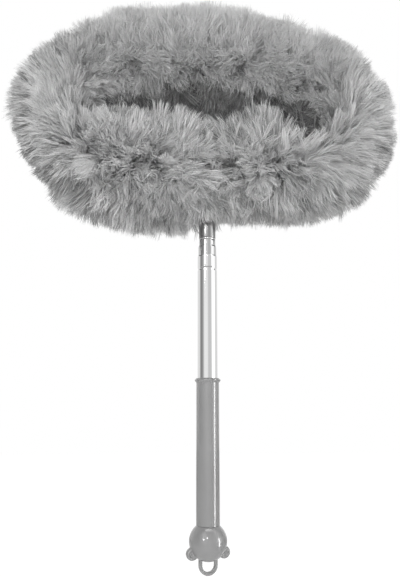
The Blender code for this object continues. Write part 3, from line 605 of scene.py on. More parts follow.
def eye_mesh():
    """Rounded bar bent to a U, its legs running up into the ball."""
    half_bar = EYE_BAR_MM / 2
    path = eye_path(EYE_RADIUS_MM - half_bar)
    along = np.gradient(path, axis=0)
    along /= np.linalg.norm(along, axis=1)[:, None]
    across = np.stack([along[:, 1], -along[:, 0]], 1)
    section = rounded(
        [
            (-half_bar, -EYE_HALF_DEPTH_MM, EYE_ROUNDING_MM),
            (half_bar, -EYE_HALF_DEPTH_MM, EYE_ROUNDING_MM),
            (half_bar, EYE_HALF_DEPTH_MM, EYE_ROUNDING_MM),
            (-half_bar, EYE_HALF_DEPTH_MM, EYE_ROUNDING_MM),
        ]
    )
    sides = len(section)
    points = []
    for place, sideways in zip(path * MM, across):
        for off, depth in section:
            points.append((place[0] + off * sideways[0], depth, place[1] + off * sideways[1]))
    i = np.arange(len(path) - 1)[:, None] * sides
    k = np.arange(sides)[None, :]
    next_k = (k + 1) % sides
    quads = np.stack([i + k, i + next_k, i + sides + next_k, i + sides + k], 2).reshape(-1, 4)
    mesh = mesh_of("hanging_eye_moulding", points, quads)
    turn_normals_out(mesh, fill_ends_of=sides)
    mesh.transform(Matrix.Rotation(END_TURN, 4, "Z"))
    mesh.shade_smooth()
    mesh.set_sharp_from_angle(angle=EYE_SHARP_EDGE)
    return mesh


piece("end_ball_moulding", ball_mesh(), GREY_PLASTIC, "handle", "grey_plastic", "end_ball")
piece("hanging_eye_moulding", eye_mesh(), GREY_PLASTIC, "handle", "grey_plastic", "hanging_eye")


# Pile: strands in tufts round the loop

# A row vector of the loop's own frame, times this, is in the row frame's directions
LEAN = np.array(
    [
        [1.0, 0.0, 0.0],
        [0.0, math.cos(REST_LEAN), -math.sin(REST_LEAN)],
        [0.0, math.sin(REST_LEAN), math.cos(REST_LEAN)],
    ]
)

# Directions in the loop's own frame
DEPTH = np.array((0.0, 1.0, 0.0))
DOWN = LEAN @ np.array((0.0, 0.0, -1.0))

# Pile: its root's radius, its reach from the wire, its least height on its root, and its front and back
ROOT_RADIUS = 0.0135
PILE_OUTWARD = 0.0665
PILE_BEHIND = 0.070
SHORTEST_PILE = 0.006
PILE_FRONT = -0.0595
PILE_BACK = 0.1220

# Tufts of a slice, locks of a tuft, fibres of a lock, their droop and the places along a fibre
TUFT_ROWS = 9
TUFTS_AROUND = 24
LOCKS_IN_TUFT = 9
FIBRES_IN_LOCK = 9
TUFT_RADIUS = 0.0022
LOCK_RADIUS = 0.0016
FIBRE_HALF_WIDTH = 0.00044
FIBRE_TAPER = 0.48
DROOP = 0.18
STEPS = np.array([0.0, 0.32, 0.62, 0.92, 1.0])
FIRST_SEED = 100

# Scatter by chance: of angles in radians, of lengths in metres, and of the rest in shares
TUFT_ANGLE_SCATTER = 0.07
TUFT_PLACE_SCATTER = 0.0014
TUFT_REACH_RANGE = (0.95, 1.03)
TUFT_CURL = 0.15
LOCK_CURL = 0.10
FIBRE_CURL = 0.05
LOCK_SPREAD_RANGE = (0.10, 0.24)
LOCK_RADIUS_RANGE = (0.6, 1.5)
LOCK_POINT_RANGE = (0.15, 0.9)
LOCK_SHORTER = 0.09
FIBRE_SHORTER = 0.07
FIBRE_WAVER = 0.00030
FIBRE_ROLL = 0.8
FIBRE_WIDTH_RANGE = (0.7, 1.25)

# Undercoat: its share of the locks, what is added in front and at the loop's two ends, and its reach
UNDERCOAT_SHARE = 0.34
UNDERCOAT_IN_FRONT = 0.20
UNDERCOAT_AT_ENDS = 0.22
UNDERCOAT_REACH_RANGE = (0.6, 0.85)

# Tone of a fibre, from 0, dark, to 1: the middle, the painted light and painted glints that are added, the
# painted shade that is taken away, and the scatter
MIDDLE_TONE = 0.50
FRONT_LIGHT = 0.28
FRONT_LIGHT_ABOVE = 0.08
FRONT_LIGHT_LOST_RIGHT = 0.14
SLOT_SHADE = 0.44
BOTTOM_SHADE = 0.18
RIGHT_END_SHADE = 0.06
LEFT_TOP_SHADE = 0.10
LEFT_TIP_SHADE = 0.14
SEAM_SHADE = 0.30
TUFT_TONE_SCATTER = 0.05
LOCK_TONE_SCATTER = 0.10
FIBRE_TONE_SCATTER = 0.10
GLINT_SHARE = 0.06
GLINT = 0.45

# Room for the stem, which swings from straight down to 45 degrees towards the back in the loop's frame
STEM_ROOM = 0.0093
KNUCKLE_ROOM = 0.0130
KNUCKLE_REACH = 0.016
STEM_SWING = math.radians(45)
SWING_BLEND = 0.12

# Curtain: the tufts that hang in front of the stem, by half their width along the loop and their angles
CURTAIN_HALF_WIDTH = 0.011
CURTAIN_MIDDLE = -0.35
CURTAIN_HALF_ANGLE = 0.7
CURTAIN_REACH = 1.13

# Partings in front, on the loop's lower and upper run, from which the pile is combed away
PARTING_BELOW = math.radians(-62)
PARTING_ABOVE = math.radians(-165)

# Seam of the sleeve at the neck, and pocket in the slot's right part: places and half widths as shares of
# the way round, and depths as shares of the reach
SEAM_SHARE = 0.008
SEAM_LEAN = 1.3
SEAM_LEAN_HALF_WIDTH = 0.034
SEAM_CURL_HALF_WIDTH = 0.032
SEAM_SHADE_HALF_WIDTH = 0.016
SEAM_HOLLOW_HALF_WIDTH = 0.021
SEAM_HOLLOW_DEPTH = 0.80
POCKET_SHARE = 0.15
POCKET_HALF_WIDTH = 0.033
POCKET_DEPTH = 0.46

# Shares of the way round from the neck, first to the right, and how full the pile is there outwards
FULLNESS = [
    (0.0, 0.90), (0.02, 0.80), (0.05, 0.81), (0.08, 0.88), (0.11, 0.95), (0.15, 0.98), (0.18, 0.96),
    (0.215, 0.95), (0.25, 0.95), (0.28, 0.91), (0.31, 0.81), (0.34, 0.74), (0.375, 0.78), (0.42, 0.89),
    (0.46, 0.99), (0.50, 0.99), (0.55, 0.97), (0.59, 0.96), (0.62, 0.92), (0.65, 0.81), (0.68, 0.76),
    (0.71, 0.84), (0.75, 0.96), (0.78, 0.88), (0.82, 0.87), (0.86, 1.05), (0.90, 1.10), (0.93, 1.06),
    (0.96, 1.05), (0.98, 0.96), (1.0, 0.90),
]

# The same shares, and how far the pile in front reaches inwards, in metres
INWARD_REACH = [
    (0.0, 0.022), (0.01, 0.014), (0.022, 0.026), (0.036, 0.052), (0.055, 0.064), (0.095, 0.064),
    (0.108, 0.028), (0.13, 0.018), (0.16, 0.016), (0.25, 0.016), (0.31, 0.030), (0.38, 0.050),
    (0.62, 0.050), (0.70, 0.042), (0.78, 0.038), (0.84, 0.042), (0.87, 0.056), (0.965, 0.058),
    (0.985, 0.046), (1.0, 0.022),
]


def loop_frame(distance):
    """Places on the loop at distances from the neck, their outward normals and the path's radius there.

    They are in the loop's own frame, whose origin is on the knuckle's pin.
    """
    left = np.mod(np.asarray(distance, float), LOOP_LENGTH)
    angle = np.zeros_like(left)
    radius = np.zeros_like(left)
    centre = np.zeros(left.shape + (2,))
    turned = 0.0
    passed = 0.0
    for span, arc_radius, x, z in (
        (LONG_ANGLE, LONG_RADIUS, 0.0, LONG_CENTRE),
        (END_ANGLE, LOOP_END_RADIUS, END_CENTRE_X, 0.0),
        (2 * LONG_ANGLE, LONG_RADIUS, 0.0, -LONG_CENTRE),
        (END_ANGLE, LOOP_END_RADIUS, -END_CENTRE_X, 0.0),
        (LONG_ANGLE, LONG_RADIUS, 0.0, LONG_CENTRE),
    ):
        here = left >= passed
        angle = np.where(here, turned + (left - passed) / arc_radius, angle)
        radius = np.where(here, arc_radius, radius)
        centre = np.where(here[..., None], np.array((x, z)), centre)
        turned += span
        passed += span * arc_radius
    normal = np.stack([np.sin(angle), np.zeros_like(angle), -np.cos(angle)], -1)
    place = normal * radius[..., None]
    place[..., 0] += centre[..., 0]
    place[..., 2] += WIRE_RISE + LOOP_HALF_HEIGHT + centre[..., 1]
    return place, normal, radius


def to_row(local):
    """From the loop's own frame to the row frame at rest."""
    return local @ LEAN + np.array((0.0, 0.0, PIVOT_HEIGHT))


def unit(vectors):
    return vectors / np.linalg.norm(vectors, axis=-1, keepdims=True)


def ease(value, low, high):
    """0 below low, 1 above high and a smooth step between."""
    share = np.clip((value - low) / (high - low), 0, 1)
    return share * share * (3 - 2 * share)


def bell(value, half_width, power=2):
    """1 at 0, falling away on both sides; a higher power has a flatter top and steeper sides."""
    return np.exp(-((value / half_width) ** power))


def part_round_stem(points, in_front):
    """Moves fibres clear of the stem over its whole swing: those in front bulge forwards, others go aside."""
    x, y, z = points[..., 0], points[..., 1], points[..., 2]
    radius = np.hypot(y, z)
    angle = np.arctan2(y, -z)
    margin = np.arcsin(np.clip(STEM_ROOM / np.maximum(radius, STEM_ROOM), 0, 1))
    swing_end = STEM_SWING + margin
    swept = ease(angle, -margin - SWING_BLEND, -margin)
    swept = swept * (1 - ease(angle, swing_end, swing_end + SWING_BLEND))
    swept = np.where((radius < STEM_ROOM * 1.2) & (np.abs(x) < KNUCKLE_ROOM), 1.0, swept)
    room = np.where(radius < KNUCKLE_REACH, KNUCKLE_ROOM, STEM_ROOM)
    aside = np.where(x >= 0, 1.0, -1.0) * np.sqrt(x**2 + (room * swept) ** 2)
    front = -np.sqrt(np.clip((room * 1.04) ** 2 - x**2, 0, None)) - 0.0008
    bulge = ease(-z, -0.026, -0.010) * (np.abs(x) < room) * (y > front)
    out = points.copy()
    out[..., 0] = np.where(in_front, x, aside)
    out[..., 1] = np.where(in_front, y + (front - y) * bulge, y)
    return out


def trimmed(points, place, reach, exact, rng):
    """Evens out how far the tips are from the wire, and keeps them within the pile's front and back."""
    root = points[:, :1]
    tip = np.linalg.norm(points[:, -1] - place, axis=1)
    share = (reach - ROOT_RADIUS) / np.maximum(tip - ROOT_RADIUS, 0.004)
    share = np.where(exact, np.clip(share, 0.3, 1.2), np.clip(share, 0.75, 1.2) ** 0.6)
    points = root + (points - root) * share[:, None, None]
    ends = to_row(points[:, [0, -1]])[..., 1]
    limit = np.where(ends[:, 1] < ends[:, 0], PILE_FRONT, PILE_BACK)
    limit = limit * (1 - 0.06 * rng.random(len(points)))
    over = np.abs(limit - ends[:, 0]) / np.maximum(np.abs(ends[:, 1] - ends[:, 0]), 1e-6)
    return root + (points - root) * np.minimum(over, 1.0)[:, None, None]


def tuft_places(first, last, rng):
    """Distance along the loop and angle round the tube of each tuft, in staggered rows.

    The angle is 0 outwards, a quarter turn below 0 at the front, and half a turn inwards.
    """
    rows = np.repeat(np.arange(TUFT_ROWS), TUFTS_AROUND)
    around = np.tile(np.arange(TUFTS_AROUND), TUFT_ROWS) + 0.5 * (rows % 2)
    angle = around * math.tau / TUFTS_AROUND + rng.normal(0, TUFT_ANGLE_SCATTER, len(rows))
    distance = first + (last - first) * (rows + 0.5) / TUFT_ROWS
    distance = distance + rng.normal(0, TUFT_PLACE_SCATTER, len(rows))
    return distance, (angle + math.pi) % math.tau - math.pi


def pile_reach(share, angle):
    """How far the pile reaches from the wire, by its place on the loop and the side that it faces."""
    outwardness = np.cos(angle)
    fullness = np.interp(share % 1.0, *zip(*FULLNESS))
    behind = ease(np.sin(angle), -0.1, 0.4)
    inward = np.interp(share % 1.0, *zip(*INWARD_REACH)) * (1 - behind) + PILE_BEHIND * behind
    outward = PILE_OUTWARD * (1 + (fullness - 1) * np.maximum(0, outwardness) ** 0.6)
    return outward + (inward - outward) * np.maximum(0, -outwardness) ** 0.38


def height_on_loop(place):
    """0 on the loop's lower run, 1 on its upper run."""
    return ease((place[:, 2] - WIRE_RISE - LOOP_HALF_HEIGHT) / LOOP_HALF_HEIGHT, -0.35, 0.35)


def facing_front(angle, place):
    """1 where the pile faces the front and is lit, less beside it; higher up that is further inwards."""
    return bell(angle + 1.0 + 1.2 * height_on_loop(place), 0.55)


def tone_of_place(angle, place):
    """Painted light where the pile faces the front, and painted shade round the slot, along the bottom and at
    the ends.
    """
    right, left = place[:, 0], -place[:, 0]
    inwardness = -np.cos(angle)
    above = height_on_loop(place)
    # Painted shade round the slot, on its inner sides and behind
    slot = 0.65 * ease(inwardness, 0.94, 1.0) * above + 0.5 * ease(inwardness, 0.0, 0.8) * (1 - above)
    slot = np.maximum(slot, ease(inwardness, 0.0, 0.6) * ease(np.sin(angle), -0.1, 0.3))
    # Painted shade along the lower run's bottom
    bottom = ease(angle, -0.7, -0.1) * ease(-angle, -1.8, -1.0) * (1 - above)
    # Painted light on the pile that faces the front, with less of it on the right
    lost_right = FRONT_LIGHT_LOST_RIGHT * ease(right, 0.03, 0.10) * (1 - 0.5 * above)
    front = facing_front(angle, place) * (FRONT_LIGHT + FRONT_LIGHT_ABOVE * above - lost_right)
    # Painted shade at the right end, on the left end's top and at the left tip
    ends = RIGHT_END_SHADE * ease(right, 0.08, 0.15) + LEFT_TOP_SHADE * above * ease(left, 0.09, 0.14)
    ends += LEFT_TIP_SHADE * ease(left, 0.10, 0.14) * ease(np.cos(angle), 0.0, 0.6)
    return front - SLOT_SHADE * slot - BOTTOM_SHADE * bottom - ends


def beside_seam(share):
    """How far a place is from the seam in front, as a share of the way round: negative to its left."""
    return (share - SEAM_SHARE + 0.5) % 1.0 - 0.5


def combed_lean(share, angle, place, rng):
    """Lean of each tuft along the loop and round the tube: away from a parting, in waves and by chance."""
    u = share * math.tau
    height = np.clip((place[:, 2] - WIRE_RISE - LOOP_HALF_HEIGHT) / LOOP_HALF_HEIGHT, -1, 1)
    parting = PARTING_BELOW + (PARTING_ABOVE - PARTING_BELOW) * (0.5 + 0.5 * height)
    beyond = np.sin(angle - parting - 0.22 * np.sin(5 * u + 0.6) - 0.14 * np.sin(13 * u + 2.0))
    round_tube = 0.30 * beyond / np.sqrt(0.8 + beyond**2)
    round_tube += 0.14 * np.sin(7 * u + angle + 0.4) + 0.10 * np.sin(17 * u + 2 * angle)
    along = 0.20 * np.sin(3 * u + 1.3 + 1.1 * np.sin(angle)) + 0.20 * np.sin(11 * u - 2 * angle)
    along += 0.16 * np.sin(19 * u + 3 * angle + 1.0)
    # At the neck the sleeve's two ends meet, and the pile leans away from their seam
    beside = beside_seam(share)
    seam = bell(beside, SEAM_LEAN_HALF_WIDTH) * ease(np.abs(angle), 0.95, 1.5)
    scatter = 0.20 - 0.05 * height
    along += SEAM_LEAN * seam * np.sign(beside) + rng.normal(0, 1, len(u)) * scatter * (1 - 0.7 * seam)
    return along, round_tube + rng.normal(0, 1, len(u)) * scatter


def make_tufts(first, last, rng):
    """Tufts between two distances along the loop: their places, lean, curl, reach and tone."""
    distance, angle = tuft_places(first, last, rng)
    share = distance / LOOP_LENGTH
    count = len(share)
    place, normal, radius = loop_frame(distance)
    tangent = np.cross(DEPTH, normal)
    facing = np.cos(angle)[:, None] * normal + np.sin(angle)[:, None] * DEPTH
    circling = -np.sin(angle)[:, None] * normal + np.cos(angle)[:, None] * DEPTH
    along, round_tube = combed_lean(share, angle, place, rng)
    heading = unit(facing + along[:, None] * tangent + round_tube[:, None] * circling)
    uprightness = np.sum(heading * facing, 1)

    # Curl, which near the seam leads away from it
    beside = beside_seam(share)
    curl = rng.normal(0, TUFT_CURL, (count, 3))
    near_seam = (np.abs(beside) < SEAM_CURL_HALF_WIDTH) & (np.abs(angle) > 0.95)
    curl[:, 0] = np.where(near_seam, np.abs(curl[:, 0]) * np.sign(beside), curl[:, 0])

    # Reach: ragged where the upper run hangs into the slot, short at the seam and in the pocket
    reach = pile_reach(share, angle) * rng.uniform(*TUFT_REACH_RANGE, count)
    ragged = ease(-np.cos(angle), 0.2, 0.7) * ease(-place[:, 2], -0.10, -0.06)
    bumps = 0.07 * np.sin(61 * share * math.tau + 2 * angle)
    bumps += 0.06 * np.sin(37 * share * math.tau + 1.0)
    reach *= 1 + ragged * (bumps + rng.normal(0, 0.07, count))
    hollow = bell(beside, SEAM_HOLLOW_HALF_WIDTH, power=4) * ease(np.abs(angle), 0.9, 1.25)
    reach *= 1 - SEAM_HOLLOW_DEPTH * hollow
    reach *= 1 - POCKET_DEPTH * bell(share - POCKET_SHARE, POCKET_HALF_WIDTH) * ease(-angle, 1.1, 1.7)
    curtain = (np.abs(place[:, 0]) < CURTAIN_HALF_WIDTH) & (place[:, 2] < LOOP_HALF_HEIGHT)
    curtain &= np.abs(angle - CURTAIN_MIDDLE) < CURTAIN_HALF_ANGLE
    reach *= np.where(curtain, CURTAIN_REACH, 1.0)
    reach = np.maximum(reach, ROOT_RADIUS + SHORTEST_PILE)

    # Tone: the painted light and shade of the place, painted shade where the ragged tufts are shorter and at
    # the seam, and random tone
    tone = rng.normal(0, TUFT_TONE_SCATTER, count) + tone_of_place(angle, place) + 1.5 * ragged * bumps
    tone -= SEAM_SHADE * bell(beside, SEAM_SHADE_HALF_WIDTH) * ease(-angle, 0.9, 1.4)
    length = (reach - ROOT_RADIUS) / uprightness**0.8
    crowding = np.clip(1 + 0.034 * np.cos(angle) / radius, 0.5, 1.5)
    return SimpleNamespace(
        share=share, angle=angle, place=place, facing=facing, heading=heading, curl=curl, reach=reach,
        length=length, tone=tone, curtain=curtain, crowding=crowding,
    )


def bundled(heading, nudge, rng):
    """For each heading a direction square to it, by chance, and how far out it lies in a round bundle."""
    side_a = unit(np.cross(heading, DEPTH + nudge))
    side_b = np.cross(heading, side_a)
    spin = rng.uniform(0, math.tau, len(heading))
    off = np.sqrt(rng.random(len(heading)))
    return np.cos(spin)[:, None] * side_a + np.sin(spin)[:, None] * side_b, off[:, None]


def make_locks(tufts, rng):
    """Locks of the tufts: each has its own way out of its tuft, length, curl, width and tone."""
    locks_in_tuft = np.round(LOCKS_IN_TUFT * tufts.crowding).astype(int)
    tuft = np.repeat(np.arange(len(tufts.share)), locks_in_tuft)
    count = len(tuft)
    fan, off = bundled(tufts.heading[tuft], 0.01, rng)
    facing = tufts.facing[tuft]
    root = tufts.place[tuft] + facing * ROOT_RADIUS + fan * (TUFT_RADIUS * off)
    spreading = fan * (rng.uniform(*LOCK_SPREAD_RANGE, count)[:, None] * off)
    long_heading = unit(tufts.heading[tuft] + spreading)

    # The undercoat is shorter, and stands upright under the long locks
    loop_end = ease(np.abs(tufts.place[:, 0]), 0.08, 0.13) * ease(np.cos(tufts.angle), 0.1, 0.7)
    undercoat = UNDERCOAT_SHARE + UNDERCOAT_IN_FRONT * facing_front(tufts.angle, tufts.place)
    undercoat = undercoat + UNDERCOAT_AT_ENDS * loop_end
    under = rng.random(count) < undercoat[tuft]
    upright_heading = unit(tufts.heading[tuft] + 1.2 * facing + 0.5 * fan * off)
    heading = np.where(under[:, None], upright_heading, long_heading)
    shorter = np.where(under, rng.uniform(*UNDERCOAT_REACH_RANGE, count), 1.0)
    reach = ROOT_RADIUS + (tufts.reach[tuft] - ROOT_RADIUS) * shorter

    # Locks are narrowest, most pointed and most uneven in tone at the neck, and least so at the top
    length = tufts.length[tuft] * (1 - LOCK_SHORTER * rng.random(count) ** 2)
    curl = tufts.curl[tuft] + rng.normal(0, LOCK_CURL, (count, 3))
    matted = 0.66 + 0.34 * np.cos(tufts.share * math.tau)[tuft]
    tone = tufts.tone[tuft] + rng.normal(0, LOCK_TONE_SCATTER, count) * matted
    radius = LOCK_RADIUS * rng.uniform(*LOCK_RADIUS_RANGE, count) / matted
    point = rng.uniform(*LOCK_POINT_RANGE, count) * matted
    return SimpleNamespace(
        tuft=tuft, root=root, heading=heading, under=under, reach=reach, length=length, curl=curl,
        matted=matted, tone=tone, radius=radius, point=point,
    )


def make_fibres(tufts, locks, rng):
    """Centrelines and tones of the fibres: each keeps to its lock, which narrows to a point."""
    lock = np.repeat(np.arange(len(locks.tuft)), FIBRES_IN_LOCK)
    count = len(lock)
    heading = locks.heading[lock]
    aside, off = bundled(heading, 0.013, rng)
    offset = aside * (off * locks.radius[lock][:, None])
    length = locks.length[lock] * (1 - FIBRE_SHORTER * rng.random(count) ** 2)
    curl = locks.curl[lock] + rng.normal(0, FIBRE_CURL, (count, 3))
    curl -= np.sum(curl * heading, 1)[:, None] * heading
    droop = DROOP * (1 - np.abs(heading @ DOWN))
    t = STEPS[None, :, None]
    gather = 0.35 + 0.65 * np.sin(np.minimum(STEPS * 1.6, 1.0) * math.pi / 2)
    closing = 1 - (STEPS[None] ** 2) * locks.point[lock][:, None]
    centreline = (
        locks.root[lock][:, None]
        + heading[:, None] * length[:, None, None] * t
        + (curl + droop[:, None] * DOWN)[:, None] * length[:, None, None] * t**2
        + offset[:, None] * (gather[None] * closing)[..., None]
        + rng.normal(0, FIBRE_WAVER, (count, len(STEPS), 3)) * t
    )
    tuft = locks.tuft[lock]
    centreline = trimmed(centreline, tufts.place[tuft], locks.reach[lock], locks.under[lock], rng)
    centreline = part_round_stem(centreline, tufts.curtain[tuft][:, None])
    matted = locks.matted[lock]
    tone = MIDDLE_TONE + locks.tone[lock] + rng.normal(0, FIBRE_TONE_SCATTER, count) * matted
    # Painted glints: a share of the fibres made much lighter, fewer towards the top
    tone += np.where(rng.random(count) < GLINT_SHARE, GLINT, 0.0) * matted
    return centreline, tone


def ribbons(name, centreline, tone, rng):
    """Flat fibres along centrelines, twisted at random and tapered to a point. The mesh keeps their tone,
    with painted shade towards each root.
    """
    total = len(centreline)
    along = unit(np.gradient(centreline, axis=1))
    across = unit(np.cross(along, unit(rng.normal(size=(total, 1, 3)))))
    other = np.cross(along, across)
    roll = rng.normal(0, FIBRE_ROLL, total)[:, None] * STEPS[None]
    flat = np.cos(roll)[..., None] * across + np.sin(roll)[..., None] * other
    width = FIBRE_HALF_WIDTH * rng.uniform(*FIBRE_WIDTH_RANGE, total)[:, None]
    width = width * (1 - FIBRE_TAPER * STEPS[None] ** 2)
    left = centreline[:, :-1] - flat[:, :-1] * width[:, :-1, None]
    right = centreline[:, :-1] + flat[:, :-1] * width[:, :-1, None]
    sides = np.stack([left, right], 2).reshape(total, -1, 3)
    points = np.concatenate([sides, centreline[:, -1:]], 1)
    base = np.arange(total)[:, None] * points.shape[1]
    segments = len(STEPS) - 2
    quads = np.concatenate(
        [base + np.array([2 * k, 2 * k + 1, 2 * k + 3, 2 * k + 2]) for k in range(segments)]
    )
    tris = base + np.array([2 * segments, 2 * segments + 1, 2 * segments + 2])
    mesh = mesh_of(name, to_row(points.reshape(-1, 3)), quads, tris)
    # Painted shade: each fibre darker at its root, deep in the pile, and lighter towards its tip
    root_shade = 0.82 + 0.22 * np.append(np.repeat(STEPS[:-1], 2), 1.0)
    tones = np.clip(tone[:, None] * root_shade, 0, 1).astype(np.float32)
    mesh.attributes.new("tone", "FLOAT", "POINT").data.foreach_set("value", tones.ravel())
    mesh.shade_smooth()
    return mesh


def strands(name, first, last, seed):
    """Mesh of the sleeve's fibres that are rooted between two distances along the loop."""
    rng = np.random.default_rng(seed)
    tufts = make_tufts(first, last, rng)
    locks = make_locks(tufts, rng)
    centreline, tone = make_fibres(tufts, locks, rng)
    return ribbons(name, centreline, tone, rng)


# Foam and backing under the strands, from one side of the clamp to the other

FOAM_RADIUS = 0.0118
FOAM_BORE = 0.0032
BACKING_RADIUS = 0.0137
BACKING_BORE = 0.0128
CLAMP_ROOM = 0.0216


def sleeve_tube(name, radius, bore, sides=24, rows=160):
    """A closed tube round the loop, which leaves room for the clamp at the neck."""
    stations = CLAMP_ROOM + (LOOP_LENGTH - 2 * CLAMP_ROOM) * np.arange(rows + 1) / rows
    place, normal, _ = loop_frame(stations)
    angles = np.arange(sides) * math.tau / sides
    ring = np.cos(angles)[None, :, None] * normal[:, None] + np.sin(angles)[None, :, None] * DEPTH
    outer = place[:, None] + ring * radius
    inner = place[:, None] + ring * bore
    points = to_row(np.concatenate([outer, inner]).reshape(-1, 3))
    i = np.arange(rows)[:, None] * sides
    k = np.arange(sides)[None, :]
    shell = (rows + 1) * sides
    next_k = (k + 1) % sides
    outside = np.stack([i + k, i + sides + k, i + sides + next_k, i + next_k], 2).reshape(-1, 4)
    inside = outside[:, ::-1] + shell
    start = np.stack([k, next_k, next_k + shell, k + shell], 2).reshape(-1, 4)
    last = rows * sides
    end = np.stack([k + shell, next_k + shell, next_k, k], 2).reshape(-1, 4) + last
    mesh = mesh_of(name, points, np.concatenate([outside, inside, start, end]))
    mesh.shade_smooth()
    return mesh


foam = sleeve_tube("foam_tube", FOAM_RADIUS, FOAM_BORE)
backing = sleeve_tube("sleeve_backing", BACKING_RADIUS, BACKING_BORE)
piece("foam_tube", foam, FOAM, "head_loop", "foam", "foam_core")
piece("sleeve_backing", backing, BACKING, "head_loop", "pile")

slices = [("pile_neck", 0)]
for number in range(1, SLICE_COUNT // 2):
    slices += [(f"pile_right_{number}", number), (f"pile_left_{number}", SLICE_COUNT - number)]
slices.append(("pile_top", SLICE_COUNT // 2))
for node, index in slices:
    start = (index - 0.5) * SLICE_LENGTH
    mesh = strands(node + "_strands", start, start + SLICE_LENGTH, FIRST_SEED + index)
    piece(node + "_strands", mesh, PILE, "head_loop", "pile", node)


# Materials of the CAD nodes that stay

for material, nodes in (
    (NYLON, "middle_bush inner_bush swivel_washer friction_washer_left friction_washer_right"),
    (ZINC, "swivel_screw knuckle_screw knuckle_nut yoke_screw_left yoke_screw_right loop_wire"),
    (DARK_PLASTIC, "knuckle_fork yoke_back yoke_front"),
):
    for node in nodes.split():
        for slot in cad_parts[node].material_slots:
            slot.material = material


# Camera, light and floor

# Brightness of the studio that the steel shows, by degrees to the right of the camera
STEEL_BANDS = [
    (-180, 0.90), (-112, 0.88), (-100, 0.84), (-90, 0.36), (-84, 0.28), (-66, 0.30), (-54, 0.44),
    (-45, 0.66), (-36, 1.00), (-2, 1.00), (10, 0.72), (20, 0.68), (46, 0.70), (54, 1.60),
    (88, 1.60), (95, 0.95), (110, 0.80), (126, 0.78), (142, 0.95), (172, 0.92),
]

# Brightness of the even light on all else, from below to above, and how steep a direction that spans
EVEN_LIGHT = [(0.0, 0.26), (0.5, 0.64), (1.0, 0.60)]
EVEN_LIGHT_RISE = 0.6

# Floor, which the camera sees mixed with a white glow
FLOOR_HALF_SIZE = 6.0
FLOOR_HEIGHT = -0.42
FLOOR_GLOW = 1.20
FLOOR_GLOW_SHARE = 0.75


def studio_direction(beside, above):
    """Unit vector from the object to a place that many degrees right of the camera and above the horizon."""
    turn = CAMERA_AZIMUTH + math.radians(beside)
    rise = math.radians(above)
    return Vector((math.sin(turn) * math.cos(rise), -math.cos(turn) * math.cos(rise), math.sin(rise)))


def add_camera():
    """The photograph's camera: in front of the pole and below the loop, pitched up."""
    data = bpy.data.cameras.new("camera")
    data.lens = CAMERA_LENS
    data.clip_end = 50.0
    camera = new_object("camera", data)
    ahead = -studio_direction(0, 0)
    right = ahead.cross(Vector((0, 0, 1)))
    camera.location = (
        -ahead * CAMERA_DISTANCE - right * CAMERA_LEFT_OF_POLE + Vector((0, 0, CAMERA_HEIGHT))
    )
    looking = ahead * math.cos(CAMERA_PITCH) + Vector((0, 0, math.sin(CAMERA_PITCH)))
    camera.rotation_euler = looking.to_track_quat("-Z", "Y").to_euler()
    bpy.context.scene.camera = camera


def add_lamp(name, place, size, radiance, aim_height, diffuse=True, glossy=True):
    """A rectangular lamp that faces the pole at aim_height; radiance is its own brightness.

    Its place is in degrees right of the camera, degrees above the horizon, and metres from the pole.
    """
    beside, above, distance = place
    width, height = size
    data = bpy.data.lights.new(name, "AREA")
    data.shape = "RECTANGLE"
    data.size = width
    data.size_y = height
    data.energy = radiance * math.pi * width * height
    lamp = new_object(name, data)
    towards = studio_direction(beside, above)
    lamp.location = Vector((0, 0, aim_height)) + towards * distance
    lamp.rotation_euler = (-towards).to_track_quat("-Z", "Y").to_euler()
    lamp.visible_camera = False
    lamp.visible_diffuse = diffuse
    lamp.visible_glossy = glossy


def steel_light(tree, direction):
    """Bright and dark bands round the object, for the steel to show."""
    forwards = add(tree, "ShaderNodeMath", [(0, direction.outputs["Y"])], operation="MULTIPLY")
    forwards.inputs[1].default_value = -1.0
    turn = add(
        tree, "ShaderNodeMath", [(0, direction.outputs["X"]), (1, forwards.outputs[0])], operation="ARCTAN2"
    )
    share = add(
        tree, "ShaderNodeMapRange", [("Value", turn.outputs[0])], From_Min=-math.pi, From_Max=math.pi
    )
    camera_share = 0.5 + CAMERA_AZIMUTH / math.tau
    stops = [(camera_share + beside / 360, tone) for beside, tone in STEEL_BANDS]
    glow = ramp(tree, share.outputs["Result"], stops)
    return add(tree, "ShaderNodeBackground", [("Color", glow)])


def even_light(tree, direction):
    """Soft light without bands, darker from below."""
    rise = add(
        tree,
        "ShaderNodeMapRange",
        [("Value", direction.outputs["Z"])],
        From_Min=-EVEN_LIGHT_RISE,
        From_Max=EVEN_LIGHT_RISE,
    )
    glow = ramp(tree, rise.outputs["Result"], EVEN_LIGHT)
    return add(tree, "ShaderNodeBackground", [("Color", glow)])


def add_world():
    """White to the camera, even light on the object, and bright and dark bands for the steel to show."""
    world = bpy.data.worlds.new("studio")
    world.use_nodes = True
    bpy.context.scene.world = world
    tree = world.node_tree
    tree.nodes.clear()
    around = add(tree, "ShaderNodeTexCoord").outputs["Generated"]
    direction = add(tree, "ShaderNodeSeparateXYZ", [("Vector", around)])
    path = add(tree, "ShaderNodeLightPath")
    banded = steel_light(tree, direction)
    even = even_light(tree, direction)
    white = add(tree, "ShaderNodeBackground", Color=(1, 1, 1, 1))
    lit = mix(tree, path.outputs["Is Glossy Ray"], even, banded)
    seen = mix(tree, path.outputs["Is Camera Ray"], lit, white)
    add(tree, "ShaderNodeOutputWorld", [("Surface", seen.outputs[0])])


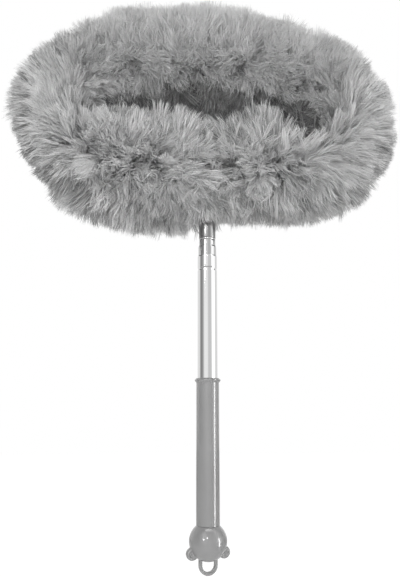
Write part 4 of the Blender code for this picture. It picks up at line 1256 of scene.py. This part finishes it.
def add_floor():
    """Pale floor well below the eye, brightened to white for the camera so that only the shadow shows."""
    low, high, height = -FLOOR_HALF_SIZE, FLOOR_HALF_SIZE, FLOOR_HEIGHT
    corners = [(low, low, height), (high, low, height), (high, high, height), (low, high, height)]
    made, tree, shader = node_material("floor")
    grain = noise(tree, FLOOR_CELLS, detail=2.0)
    tree.links.new(ramp(tree, grain, [(0.3, 0.66), (0.7, 0.68)]), shader.inputs["Base Color"])
    shader.inputs["Roughness"].default_value = 0.9
    path = add(tree, "ShaderNodeLightPath")
    share = add(tree, "ShaderNodeMath", [(0, path.outputs["Is Camera Ray"])], operation="MULTIPLY")
    share.inputs[1].default_value = FLOOR_GLOW_SHARE
    white = add(tree, "ShaderNodeEmission", Color=(1, 1, 1, 1), Strength=FLOOR_GLOW)
    mixed = mix(tree, share.outputs[0], shader, white)
    tree.links.new(mixed.outputs[0], tree.nodes["Material Output"].inputs["Surface"])
    mesh = bpy.data.meshes.new("floor")
    mesh.from_pydata(corners, [], [(0, 1, 2, 3)])
    mesh.materials.append(made)
    floor = new_object("floor", mesh)


add_camera()
add_world()
add_lamp("key", place=(-35, 35, 1.6), size=(0.9, 0.9), radiance=0.95, aim_height=0.25)
add_lamp("overhead", place=(-8, 62, 1.7), size=(1.3, 1.3), radiance=0.2, aim_height=0.30, glossy=False)
add_lamp("front_fill", place=(2, -24, 1.2), size=(1.0, 0.45), radiance=6.3, aim_height=0.33, glossy=False)
add_lamp("rear_fill", place=(176, 32, 1.7), size=(1.4, 0.9), radiance=5.0, aim_height=0.33, glossy=False)
add_lamp("strip_right", place=(72, -9, 0.95), size=(0.16, 0.78), radiance=10.5, aim_height=0, diffuse=False)
add_lamp("spot_left", place=(-29, 20, 4), size=(0.42, 0.40), radiance=24, aim_height=-0.08, diffuse=False)
add_lamp("spot_middle", place=(-6, 28, 4), size=(0.32, 0.36), radiance=24, aim_height=-0.08, diffuse=False)
add_lamp("lid", place=(0, 86, 2.0), size=(1.2, 1.2), radiance=3.0, aim_height=0, diffuse=False)
add_floor()

bpy.context.scene.view_settings.view_transform = "Standard"
